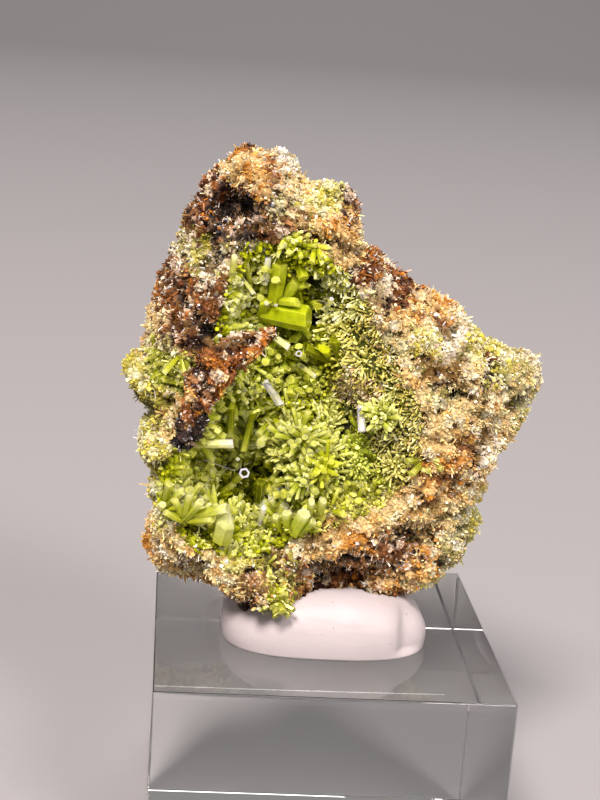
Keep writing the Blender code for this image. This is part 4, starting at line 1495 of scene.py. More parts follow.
@dataclass
class RustyArm:
    """The arm of rusty matrix that hangs over the hollow.

    Attributes:
        steps: Rings along it.
        columns: Points of a ring.
        depth_share: How deep its section is, as a share of its width.
        lumps: Cell, height and seed of each layer of lumps.
        lump_middle: Height of the lumps that leaves the surface where it is.
        dark_below: Height under which it's near black.
        shade: Shade of the arm under its grains.
        surface: The finished surface.
    """

    steps: int = 150
    columns: int = 90
    depth_share: float = 0.8
    lumps: tuple[tuple[float, float, int], ...] = ((1.5, 0.9, 131), (0.8, 0.7, 137), (0.4, 0.3, 139))
    lump_middle: float = 0.7
    dark_below: float = 43.1
    shade: float = 0.8
    surface: Patchwork = field(init=False)

    def build(self) -> bpy.types.Object:
        """Make the arm: an oval carried along a bent path, rough all over.

        Returns:
            The arm.
        """
        path = smooth_path(np.array(RUSTY_ARM), self.steps)
        middle, width = path[:, :3], path[:, 3]
        ends = np.linspace(-1, 1, self.steps)
        width = width * (1 - np.abs(ends) ** 10) ** 0.5 + 0.02
        forward = np.array([0.0, 1.0, 0.0])
        side = unit(np.cross(unit(np.gradient(middle, axis=0)), forward))
        turn = full_turn(self.columns)
        base = (
            middle[:, None, :]
            + side[:, None, :] * (width[:, None] * np.cos(turn))[..., None]
            + forward * (self.depth_share * width[:, None] * np.sin(turn))[..., None]
        )
        flat = base.reshape(-1, 3)
        height = np.zeros(len(flat))
        for cell, size, seed in self.lumps:
            height += size * (lumpy(flat, cell, seed) - self.lump_middle)
        standing = smooth_step(height, -0.5, 0.0)
        self.surface = Patchwork.pushed(base, height, np.full(self.steps, 1.5), standing)
        # Painted shade: the arm's creases take its coatings' darker crease colour
        tint = shaded(flat, self.coats(flat), smooth_step(height, -0.55, 0.1)) * self.shade
        return rock_piece("rusty_arm", self.surface.points, tint)

    def coats(self, places: np.ndarray) -> np.ndarray:
        """Choose the arm's coatings: rust with ochre spots, and near-black at the low end."""
        dark = places[:, 2] + 1.5 * soft_noise(places, 1.6, 151) < self.dark_below
        spot = soft_noise(places, 1.8, 157)
        coat = np.where(spot > 0.45, COATINGS.index(Coating.OCHRE), COATINGS.index(Coating.RUST))
        coat = np.where(spot < 0.0, COATINGS.index(Coating.DARK_RUST), coat)
        return np.where(dark, COATINGS.index(Coating.BLACK), coat)


@dataclass(frozen=True)
class Bed:
    """How the crystals of one place grow, in sprays that spread from a common foot.

    Attributes:
        x: Middle of the place.
        z: Height of its middle.
        reach: How far it reaches.
        spacing: Distance between sprays.
        count: Crystals of a spray.
        length: Shortest and longest crystal.
        half_width: Thinnest and thickest half width.
        spread: How far the crystals turn from the spray's axis, in degrees.
        lean: How far the sprays lean at random.
        toward: Way that they lean together, across and up.
        body: Colour of the crystals.
        tip: Colour of their ends.
    """

    x: float
    z: float
    reach: float
    spacing: float
    count: int
    length: tuple[float, float]
    half_width: tuple[float, float]
    spread: float
    lean: float
    toward: tuple[float, float]
    body: str
    tip: str


# Beds of crystals in the hollow, named for their places
BEDS = {
    "upper chamber": Bed(
        -7.4, 54.6, 2.2, 1.3, 8, (1.1, 2.1), (0.22, 0.4), 45, 0.7, (0.1, 0.4), "#C8D410", "#F0F28C"
    ),
    "chamber's left": Bed(
        -10.6, 54.2, 2.0, 1.1, 9, (0.9, 1.6), (0.16, 0.3), 55, 0.8, (0.3, 0.5), "#C4CC2C", "#F2F4A0"
    ),
    "broad mass": Bed(
        -4.8, 52.4, 2.4, 1.6, 8, (1.4, 2.5), (0.32, 0.6), 40, 0.8, (0.6, 0.1), "#8C9800", "#CCD440"
    ),
    "upper right moss": Bed(
        -0.4, 53.4, 2.6, 1.0, 14, (0.8, 1.5), (0.1, 0.19), 70, 0.6, (0.2, -0.3), "#8C9018", "#ECEEA8"
    ),
    "right moss": Bed(
        2.6, 48.6, 3.4, 0.85, 15, (0.5, 1.0), (0.08, 0.15), 80, 0.6, (0.0, 0.0), "#96941A", "#EAE288"
    ),
    "green column": Bed(
        -0.6, 47.2, 1.3, 1.8, 6, (1.4, 2.2), (0.34, 0.5), 35, 0.5, (0.0, 0.8), "#8A9200", "#BCC41E"
    ),
    "middle": Bed(
        -4.6, 47.6, 2.8, 1.4, 8, (1.3, 2.3), (0.24, 0.44), 48, 0.7, (0.2, -0.5), "#869400", "#D8DE60"
    ),
    "under the arm": Bed(
        -9.4, 44.6, 2.4, 1.1, 9, (0.9, 1.8), (0.16, 0.32), 55, 0.7, (0.7, -0.4), "#A0AC0C", "#E8EC88"
    ),
    "big prisms": Bed(
        -9.4, 40.8, 2.8, 1.5, 7, (1.7, 2.9), (0.28, 0.48), 35, 0.6, (0.3, -0.9), "#9CA800", "#E0E480"
    ),
    # Painted shade: the deep corner's crystals are coloured dark
    "deep corner": Bed(
        -8.0, 34.6, 3.0, 1.8, 6, (1.0, 2.0), (0.3, 0.56), 35, 0.6, (0.0, 0.8), "#4C5200", "#8A8E20"
    ),
    "left wall": Bed(
        -14.0, 36.8, 2.2, 1.1, 8, (0.9, 1.5), (0.2, 0.38), 50, 0.6, (0.7, 0.6), "#B4BE06", "#EAEE74"
    ),
    "wall fan": Bed(
        -13.0, 33.2, 2.2, 1.35, 9, (1.3, 2.4), (0.22, 0.42), 55, 0.5, (0.2, 1.0), "#C4CE08", "#F4F6A4"
    ),
    "lower rim": Bed(
        -9.2, 30.0, 2.8, 1.1, 9, (0.9, 1.7), (0.16, 0.38), 60, 0.6, (0.1, 1.0), "#AEB60C", "#EEF08C"
    ),
    "lower middle": Bed(
        -3.2, 32.4, 2.4, 1.35, 7, (1.3, 2.2), (0.28, 0.5), 50, 0.6, (0.0, 1.0), "#A8B204", "#E8EA72"
    ),
    "bright rim mass": Bed(
        -3.9, 32.3, 1.8, 1.1, 8, (1.2, 2.0), (0.32, 0.54), 38, 0.3, (0.1, 1.0), "#B4C200", "#F0F2A0"
    ),
    "low right": Bed(
        1.8, 34.2, 2.4, 1.3, 9, (1.1, 1.9), (0.2, 0.38), 55, 0.7, (-0.1, 0.8), "#8A9008", "#DEDC6E"
    ),
    "right pocket": Bed(
        1.6, 38.4, 2.4, 0.95, 10, (0.8, 1.5), (0.13, 0.24), 65, 0.7, (-0.3, 0.3), "#5C6A00", "#A8B440"
    ),
    # Painted shade: the crystals in the gap are coloured dark
    "gap": Bed(
        1.4, 41.6, 1.6, 2.2, 6, (0.7, 1.2), (0.18, 0.3), 50, 0.5, (0.0, 0.0), "#3A3C00", "#808019"
    ),
    "right sprays": Bed(
        6.0, 39.0, 3.0, 0.9, 16, (0.6, 1.1), (0.08, 0.15), 80, 0.6, (0.0, 0.0), "#948E20", "#EAE29C"
    ),
    "pale ball": Bed(
        4.2, 43.6, 1.8, 0.85, 18, (0.9, 1.5), (0.09, 0.13), 75, 0.7, (0.0, 0.0), "#868C18", "#E0E08C"
    ),
    "tan ledge": Bed(
        1.4, 45.6, 1.8, 0.6, 16, (0.3, 0.6), (0.09, 0.15), 80, 0.8, (0.0, 0.0), "#A06A38", "#F0D0A4"
    ),
    "ball mound": Bed(
        -3.0, 39.6, 2.4, 0.95, 16, (1.1, 1.9), (0.11, 0.18), 75, 0.7, (0.0, 0.0), "#889208", "#DCDE80"
    ),
}

# Beds outside the hollow, which reach no further than they say
OUTER_BEDS = {
    "gap under the shoulder": Bed(
        -15.8, 46.2, 1.5, 1.1, 6, (0.8, 1.6), (0.2, 0.34), 45, 0.7, (0.5, 0.3), "#969C1A", "#E6E689"
    ),
    "foot": Bed(
        -5.3, 25.3, 1.0, 1.0, 6, (0.5, 1.0), (0.2, 0.36), 50, 0.8, (0.0, 0.4), "#8E941A", "#D6D674"
    ),
    "low left rim": Bed(
        -5.2, 28.2, 0.9, 1.2, 5, (0.4, 0.8), (0.12, 0.24), 50, 0.8, (0.0, 0.5), "#8A8E20", "#D4D27B"
    ),
}


@dataclass(frozen=True)
class Spray:
    """A round ball of crystals: foot, lift above the rock, count, length and half width."""

    x: float
    z: float
    lift: float
    count: int
    length: float
    half_width: float
    body: str
    tip: str


# The largest balls of crystals, named for their places
SPRAYS = {
    "middle ball": Spray(-3.6, 39.4, 0.7, 130, 2.7, 0.27, "#949E0A", "#E2E68C"),
    "bright node": Spray(-2.4, 38.0, 1.4, 60, 1.9, 0.25, "#B4BE08", "#DEE25B"),
    "low fan": Spray(-3.2, 36.8, 1.0, 80, 2.2, 0.27, "#8A9604", "#E2E68C"),
    "right ball": Spray(3.4, 43.0, 0.9, 95, 1.8, 0.18, "#88920E", "#E0E48C"),
    "low right ball": Spray(1.6, 37.6, 0.6, 90, 1.5, 0.14, "#748004", "#C8CE68"),
    "far right ball": Spray(4.8, 38.0, 0.6, 100, 1.5, 0.12, "#807E18", "#DEDA86"),
}


@dataclass(frozen=True)
class LoneCrystal:
    """A crystal that stands out from the rest.

    Attributes:
        x: Place of its foot.
        z: Height of its foot.
        lift: How far the foot stands towards the viewer from the rock.
        direction: Way that it points.
        length: Its length.
        half_width: Its half width.
        body: Its colour.
        tip: Colour of its end.
        turn: How far it is turned round its length, in degrees.
        habit: Its shape.
    """

    x: float
    z: float
    lift: float
    direction: tuple[float, float, float]
    length: float
    half_width: float
    body: str = "#A2AA0C"
    tip: str = "#EAEA98"
    turn: float = 15.0
    habit: Habit = Habit.BLUNT_PRISM


# Crystals that stand out, named for what they look like
LONE_CRYSTALS = {
    "upright prism": LoneCrystal(-7.85, 53.7, 2.3, (0.02, -0.35, 1.0), 2.2, 0.36, "#F2F4AC", "#FCFCF4", 0),
    "left prism of the chamber": LoneCrystal(
        -11.0, 54.6, 2.0, (0.05, -0.4, 1.0), 1.8, 0.3, "#C4C858", "#F0F0BC"
    ),
    "slanting prism of the chamber": LoneCrystal(
        -9.6, 53.4, 2.4, (0.7, -0.4, -0.8), 1.5, 0.24, "#C4C860", "#F6F6D8"
    ),
    # Painted highlight: the bright end in the chamber is near white where a glint falls
    "bright end in the chamber": LoneCrystal(
        -11.2, 50.8, 2.0, (0.1, -1.0, 0.5), 1.2, 0.28, "#C8CC60", "#FCFCF0"
    ),
    "broad green prism": LoneCrystal(
        -7.3, 50.8, 1.6, (1.0, -0.44, -0.04), 3.8, 1.25, "#AEBC12", "#B8C424", 26
    ),
    "prism under the broad one": LoneCrystal(
        -7.9, 50.2, 1.4, (0.1, -0.7, 0.9), 2.2, 0.7, "#A6B40C", "#C0CA34", 30
    ),
    "upright slab over the broad one": LoneCrystal(
        -6.9, 52.0, 1.7, (0.04, -0.3, 1.0), 3.5, 0.95, "#B0BE16", "#D0D848", 0
    ),
    "plate beside the slab": LoneCrystal(
        -6.0, 52.0, 1.3, (0.45, -0.5, 1.0), 2.3, 0.6, "#A6B41C", "#D0D650", 20
    ),
    "plate on the broad one": LoneCrystal(
        -6.6, 51.9, 1.9, (1.0, -0.6, 0.1), 2.0, 0.5, "#B0BC1C", "#D2D85C", 40
    ),
    "small end on the broad one": LoneCrystal(
        -7.5, 51.3, 2.8, (-0.2, -1.0, 0.5), 0.7, 0.26, "#C4CA60", "#F6F6D8"
    ),
    "smaller end on the broad one": LoneCrystal(
        -6.9, 50.9, 2.8, (0.4, -1.0, 0.2), 0.6, 0.18, "#C4CA60", "#FAFAEA"
    ),
    "blade by the upright prism": LoneCrystal(
        -9.2, 53.4, 1.8, (-0.25, -0.4, 1.0), 2.0, 0.3, "#A8AE2A", "#E6E8A8"
    ),
    # Painted highlight: the bright corner by the broad prism and the bright ends right of it are near white
    # where glints fall
    "bright corner by the broad prism": LoneCrystal(
        -4.6, 49.2, 2.4, (0.5, -1.0, 0.2), 1.0, 0.3, "#E0E2A0", "#FCFCF4"
    ),
    "bright ends right of it": LoneCrystal(
        -2.0, 51.4, 2.2, (0.2, -0.8, 0.9), 1.4, 0.22, "#D4D88C", "#FCFCF0"
    ),
    "pale prisms under the arm's tip": LoneCrystal(
        -6.6, 48.2, 2.0, (0.8, -0.6, -0.4), 1.8, 0.4, "#D0D49C", "#F4F4D6"
    ),
    "ring in the middle": LoneCrystal(
        -4.6, 46.8, 2.2, (0.1, -1.0, 0.3), 1.4, 0.32, "#9AA02A", "#F8F8E8", habit=Habit.HOPPER_PRISM
    ),
    "slanting prism of the middle": LoneCrystal(
        -4.0, 45.6, 2.2, (0.9, -0.5, -0.5), 1.6, 0.28, "#B8BC60", "#F0F0C4"
    ),
    "bright prism": LoneCrystal(-7.0, 44.0, 2.2, (0.5, -0.5, -0.6), 2.25, 0.36, "#F0F0D2", "#FCFCF4", 30),
    "level prism": LoneCrystal(-14.0, 38.5, 4.4, (1.0, -0.3, 0.14), 4.4, 0.42, "#D8DC84", "#FCFCF4", 0),
    "hanging prism": LoneCrystal(
        -10.2, 40.9, 2.2, (0.02, -0.35, -0.9), 2.2, 0.42, "#8A9204", "#DADC7C", 40
    ),
    "second hanging prism": LoneCrystal(
        -8.4, 40.5, 2.4, (-0.2, -0.4, -1.0), 3.0, 0.44, "#848C04", "#C4C85C", 40
    ),
    "short hanging prism": LoneCrystal(-11.8, 39.4, 1.6, (-0.1, -0.4, -1.0), 2.4, 0.34, turn=40),
    # Painted shade: the prism seen end on and the dark column, in the deep corner, have dark bodies
    "prism seen end on": LoneCrystal(
        -8.23, 35.25, 4.8, (-0.09, -1.0, 0.28), 2.4, 0.54, "#4C5200", "#FCFCF6", habit=Habit.HOPPER_PRISM
    ),
    "tiny prism above it": LoneCrystal(-8.9, 36.2, 4.8, (-0.1, -1.0, 0.5), 1.0, 0.2, tip="#FAFAEA"),
    "dark column": LoneCrystal(-7.0, 33.8, 2.0, (0.0, -0.3, 1.0), 1.7, 0.5, "#454C02", "#6E7418"),
    "fan prism up": LoneCrystal(-13.8, 32.7, 2.6, (0.38, -1.1, 2.4), 2.9, 0.44, tip="#F4F4B4"),
    "fan prism up right": LoneCrystal(-13.6, 32.7, 2.7, (1.2, -1.0, 1.95), 2.6, 0.46, tip="#F4F4B4"),
    "fan prism right": LoneCrystal(-13.2, 32.6, 2.8, (3.4, -1.4, 1.55), 3.6, 0.55, tip="#F6F6C0", turn=30),
    "fan prism low right": LoneCrystal(-13.4, 32.4, 2.7, (2.1, -0.8, 0.5), 2.3, 0.42),
    "fan prism up left": LoneCrystal(-14.0, 32.7, 2.5, (-0.84, -0.9, 1.85), 2.2, 0.4),
    "fan prism left": LoneCrystal(-14.0, 32.5, 2.3, (-1.9, -1.0, 1.35), 2.0, 0.38),
    "peaked prism": LoneCrystal(
        -10.4, 31.3, 1.8, (0.15, -0.3, 1.0), 2.6, 1.2, "#AEB638", "#F4F4CC", 0, habit=Habit.PEAKED_PRISM
    ),
    "white upright prism": LoneCrystal(
        -6.9, 31.7, 2.2, (0.1, -0.5, 1.0), 1.8, 0.28, "#D8DAA0", "#FCFCF0", 30
    ),
    "rim mass left": LoneCrystal(-4.5, 32.0, 1.9, (-0.15, -0.5, 1.0), 1.8, 0.5, "#B0BC20", "#EEF2B4"),
    "rim mass middle": LoneCrystal(-3.7, 31.9, 2.2, (0.3, -0.5, 1.0), 2.3, 0.66, "#B0BE24", "#F2F4C4"),
    "rim mass right": LoneCrystal(-3.0, 31.8, 1.7, (0.5, -0.5, 0.9), 1.6, 0.44, "#B0BE20", "#EEF0B0"),
    "rim mass small": LoneCrystal(-5.2, 31.8, 1.8, (-0.35, -0.6, 1.0), 1.5, 0.4, "#B4C000", "#F0F2B0"),
    "twin prism": LoneCrystal(-2.7, 33.3, 2.0, (0.0, -0.6, 1.0), 1.9, 0.4, "#B0B63C", "#F0F0BA"),
    "twin prism beside": LoneCrystal(-1.7, 33.4, 2.0, (0.05, -0.6, 1.0), 1.8, 0.38, "#B0B63C", "#F0F0BA"),
    "gap prism": LoneCrystal(1.6, 42.2, 3.9, (0.1, -0.4, -1.0), 1.9, 0.34, "#FAF8DC", "#FCFCF4", 30),
    "fibre over the dark corner": LoneCrystal(
        -11.6, 36.7, 4.0, (1.0, -0.2, -0.25), 2.6, 0.035, "#E8E8CC", "#F8F8E8"
    ),
}


@dataclass
class CrystalCrust:
    """The pyromorphite crystals of the hollow.

    Attributes:
        rock: The rock that they grow on.
        seed: Number that starts the random choices.
        root: How deep a crystal is rooted.
        highest_share: How far out a foot that is looked for may lie.
        thick: Half width over which a crystal is a full prism.
        slim: Half width over which it is a slim prism, and a needle below.
        peaked_share: Share of the full prisms that end in a peak.
        largest: Largest factor of a crystal's size.
        edge_loss: How much smaller crystals are at the edge of the hollow.
        forward_share: How much of their lean along y the sprays keep.
        ground_density: Crystals of the ground for each square millimetre.
        ground_colours: Colours of foot and tip in the ground, left and right in the hollow.
        ball_jitter: How uneven the balls are.
        frost_count: How many small crystals grow on the sides of the larger ones.
        frost_host: Half width over which a crystal carries them.
        frost_tip: Colour that their tips lean to.
        carrier: Half width, foot colour and tip colour of the crystals that carry those that
            stand out, as shares of theirs.
    """

    rock: MatrixRock
    seed: int = 11
    root: float = 0.45
    highest_share: float = 1.06
    thick: float = 0.24
    slim: float = 0.16
    peaked_share: float = 0.07
    largest: float = 1.35
    edge_loss: float = 0.4
    forward_share: float = 0.6
    ground_density: float = 8.0
    ground_colours: tuple[tuple[str, str], ...] = (("#5A6000", "#88822A"), ("#A2A81C", "#C6BC62"))
    ball_jitter: float = 0.35
    frost_count: int = 3000
    frost_host: float = 0.15
    frost_tip: str = "#F2F48A"
    carrier: tuple[float, float, float] = (0.85, 0.45, 0.75)

    def growing_places(self, chance: np.random.Generator) -> tuple[Strewn, list[Bed], np.ndarray]:
        """Choose where sprays grow.

        Args:
            chance: Source of the random choices.

        Returns:
            The places, all the beds and the number of each place's bed.
        """
        surface, form = self.rock.surface, self.rock.form
        inner, outer = list(BEDS.values()), list(OUTER_BEDS.values())
        beds = inner + outer
        density = np.array([1.0 / bed.spacing**2 for bed in beds])
        middles, share = surface.middles(), surface.patch_share()
        grows = form.past_growth(middles, share) < 0
        for bed in outer:
            gap = np.hypot(middles[..., 0] - bed.x, middles[..., 2] - bed.z)
            grows |= (gap < bed.reach) & (share < 2.0)
        found = surface.strew(np.where(grows, density.max(), 0.0), chance)
        bent = wander(found.places, 2.0, 51)
        gap = np.stack([np.hypot(bent[:, 0] - b.x, bent[:, 2] - b.z) / b.reach for b in beds])
        inside = form.past_growth(found.places, found.share) < 0
        gap[: len(inner), ~inside] += 100.0
        gap[len(inner) :, inside] += 100.0
        number = np.argmin(gap, axis=0)
        keep = chance.random(len(number)) < density[number] / density.max()
        return found.keep(keep), beds, number[keep]

    def sprays(self, chance: np.random.Generator) -> Crystals:
        """Let a spray grow from each chosen place.

        The crystals of a spray start together under the surface. Each turns from the
        spray's axis by a random share of the spread, and outer ones are shorter.

        Args:
            chance: Source of the random choices.

        Returns:
            The crystals.
        """
        found, beds, number = self.growing_places(chance)
        own = np.repeat(np.arange(len(number)), values_of(beds, "count")[number])
        bed, total = number[own], len(own)
        lean = values_of(beds, "lean")[number][:, None] * unit(chance.normal(0, 1, (len(number), 3)))
        toward = np.insert(values_of(beds, "toward"), 1, 0.0, axis=1)[number]
        axis = unit(found.normals + toward + lean)[own]
        share = np.sqrt(chance.random(total))
        tilt = np.radians(values_of(beds, "spread")[bed]) * share
        sideways = unit(np.cross(axis, unit(chance.normal(0, 1, (total, 3)))))
        direction = axis * np.cos(tilt)[:, None] + sideways * np.sin(tilt)[:, None]
        direction = unit(direction * [1.0, self.forward_share, 1.0])
        least, most = values_of(beds, "length")[bed].T
        length = least + (most - least) * chance.random(total)
        size = uneven(chance, 0.22, len(number))[own] * uneven(chance, 0.2, total)
        size = np.minimum(size, self.largest)
        edge = smooth_step(self.rock.form.past_growth(found.places, found.share), -0.16, 0.0)[own]
        size = size * (1 - self.edge_loss * edge * (bed < len(BEDS)))
        length = length * (1 - 0.25 * share**2) * size
        least, most = values_of(beds, "half_width")[bed].T
        half_width = (least + (most - least) * chance.random(total)) * size**0.5
        foot = found.places[own] - axis * self.root + sideways * (half_width * share)[:, None]
        glow = uneven(chance, 0.24, (len(number), 1))[own] * uneven(chance, 0.2, (total, 1))
        return Crystals(
            foot,
            direction,
            length + self.root,
            half_width,
            colours_of(beds, "body")[bed] * glow,
            np.clip(colours_of(beds, "tip")[bed] * glow, 0, 0.9),
            chance.uniform(0, math.pi, total),
        )

    def ground(self, chance: np.random.Generator) -> Crystals:
        """Cover the ground between the sprays with short crystals, coloured dark as painted shade between
        them.

        Args:
            chance: Source of the random choices.

        Returns:
            The crystals.
        """
        surface = self.rock.surface
        green = self.rock.form.past_growth(surface.middles(), surface.patch_share()) < 0
        found = surface.strew(np.where(green, self.ground_density, 0.0), chance)
        count = len(found.share)
        direction = unit(found.normals + chance.normal(0, 0.5, (count, 3)))
        glow = uneven(chance, 0.3, (count, 1))
        fine = smooth_step(found.places[:, 0], -2.5, 0.5)
        right = fine[:, None]
        foot, tip = (
            (np.array(linear(near)) * (1 - right) + np.array(linear(far)) * right) * glow
            for near, far in self.ground_colours
        )
        return Crystals(
            found.places - direction * 0.2,
            direction,
            chance.uniform(0.4, 1.1, count),
            chance.uniform(0.1, 0.24, count) * (1 - 0.5 * fine),
            foot,
            tip,
            chance.uniform(0, math.pi, count),
        )

    def balls(self, chance: np.random.Generator) -> Crystals:
        """Make the round balls: crystals from one centre in all outward directions.

        Args:
            chance: Source of the random choices.

        Returns:
            The crystals.
        """
        groups = []
        for spray in SPRAYS.values():
            foot, normal = self.rock.surface.nearest_front(spray.x, spray.z, self.highest_share)
            normal = unit(normal + [0.0, -0.8, 0.0])
            direction = unit(chance.normal(0, 1, (3 * spray.count, 3)))
            direction = direction[direction @ normal > -0.15][: spray.count]
            count = len(direction)
            centre = foot + normal * spray.lift
            glow = uneven(chance, 0.16, (count, 1))
            jitter = self.ball_jitter * spray.length
            groups.append(
                Crystals(
                    centre + direction * 0.2 + chance.normal(0, 0.4 * jitter, (count, 3)),
                    unit(direction + chance.normal(0, self.ball_jitter, (count, 3))),
                    spray.length * chance.uniform(0.4, 1.0, count),
                    spray.half_width * chance.uniform(0.6, 1.4, count),
                    np.array(linear(spray.body)) * glow,
                    np.clip(np.array(linear(spray.tip)) * glow, 0, 0.9),
                    chance.uniform(0, math.pi, count),
                )
            )
        return Crystals.joined(groups)

    def frost(self, grown: Crystals, chance: np.random.Generator) -> Crystals:
        """Let small pale crystals grow out of the sides of the larger ones.

        Args:
            grown: The larger crystals.
            chance: Source of the random choices.

        Returns:
            The small crystals.
        """
        count = self.frost_count
        hosts = grown.keep(grown.half_widths > self.frost_host)
        hosts = hosts.keep(chance.integers(0, len(hosts.feet), count))
        aside = unit(np.cross(hosts.directions, chance.normal(0, 1, (count, 3))))
        height = hosts.lengths * chance.uniform(0.45, 0.98, count)
        feet = hosts.feet + hosts.directions * height[:, None]
        wild = chance.normal(0, 0.35, (count, 3))
        glow = uneven(chance, 0.2, (count, 1))
        tip = 0.4 * hosts.tip_colour + 0.6 * np.array(linear(self.frost_tip))
        return Crystals(
            feet + aside * (0.75 * hosts.half_widths)[:, None],
            unit(0.7 * hosts.directions + 0.8 * aside + wild),
            chance.uniform(0.25, 0.8, count),
            chance.uniform(0.05, 0.13, count),
            hosts.tip_colour * 0.55 * glow,
            np.clip(tip * glow, 0, 0.9),
            chance.uniform(0, math.pi, count),
        )

    def lone(self) -> tuple[Crystals, Crystals]:
        """Make the crystals that stand out, and the darker ones that carry them.

        Returns:
            The crystals that stand out, and one behind each that joins it to the rock.
        """
        rows = list(LONE_CRYSTALS.values())
        front = self.rock.surface.nearest_front
        ground = np.array([front(row.x, row.z, self.highest_share)[0] for row in rows])
        feet = ground + values_of(rows, "lift")[:, None] * TO_VIEWER
        direction = unit(values_of(rows, "direction"))
        standing = Crystals(
            feet - direction * self.root,
            direction,
            values_of(rows, "length") + self.root,
            values_of(rows, "half_width"),
            colours_of(rows, "body"),
            colours_of(rows, "tip"),
            np.radians(values_of(rows, "turn")),
        )
        way = unit(feet - ground)
        thinner, foot_shade, tip_shade = self.carrier
        carriers = Crystals(
            ground - way * self.root,
            way,
            np.linalg.norm(feet - ground, axis=1) + 1.5 * self.root,
            thinner * standing.half_widths,
            foot_shade * standing.foot_colour,
            tip_shade * standing.foot_colour,
            standing.turns,
        )
        return standing, carriers

    def build(self) -> list[bpy.types.Object]:
        """Make the crust's pieces: the crystals that stand out, and the rest by thickness.

        Returns:
            The pieces.
        """
        chance = np.random.default_rng(self.seed)
        sprays = self.sprays(chance)
        parts = [sprays, self.ground(chance), self.balls(chance), self.frost(sprays, chance)]
        grown = Crystals.joined(parts)
        middle = grown.feet + 0.5 * grown.directions * grown.lengths[:, None]
        grown = grown.keep(gap_depth(middle) < 0.5)
        thick, slim = grown.half_widths > self.thick, grown.half_widths > self.slim
        peaked = thick & (chance.random(len(thick)) < self.peaked_share)
        lone, carriers = self.lone()
        blunt, peaks, hoppers = (
            lone.keep(np.array([row.habit is habit for row in LONE_CRYSTALS.values()]))
            for habit in (Habit.BLUNT_PRISM, Habit.PEAKED_PRISM, Habit.HOPPER_PRISM)
        )
        glassy, soft = PYROMORPHITE.material(), NEEDLES.material()
        pieces = []
        for name, crystals, habit, finish in (
            (
                "blunt_crystals",
                Crystals.joined([grown.keep(thick & ~peaked), blunt, carriers]),
                Habit.BLUNT_PRISM,
                glassy,
            ),
            (
                "peaked_crystals",
                Crystals.joined([grown.keep(peaked), peaks]),
                Habit.PEAKED_PRISM,
                glassy,
            ),
            ("hoppered_crystals", hoppers, Habit.HOPPER_PRISM, glassy),
            ("slim_crystals", grown.keep(slim & ~thick), Habit.SLIM_PRISM, soft),
            ("needle_crystals", grown.keep(~slim), Habit.NEEDLE, soft),
        ):
            pieces.append(crystals.build(name, habit, chance))
            pieces[-1].data.materials.append(finish)
        return pieces


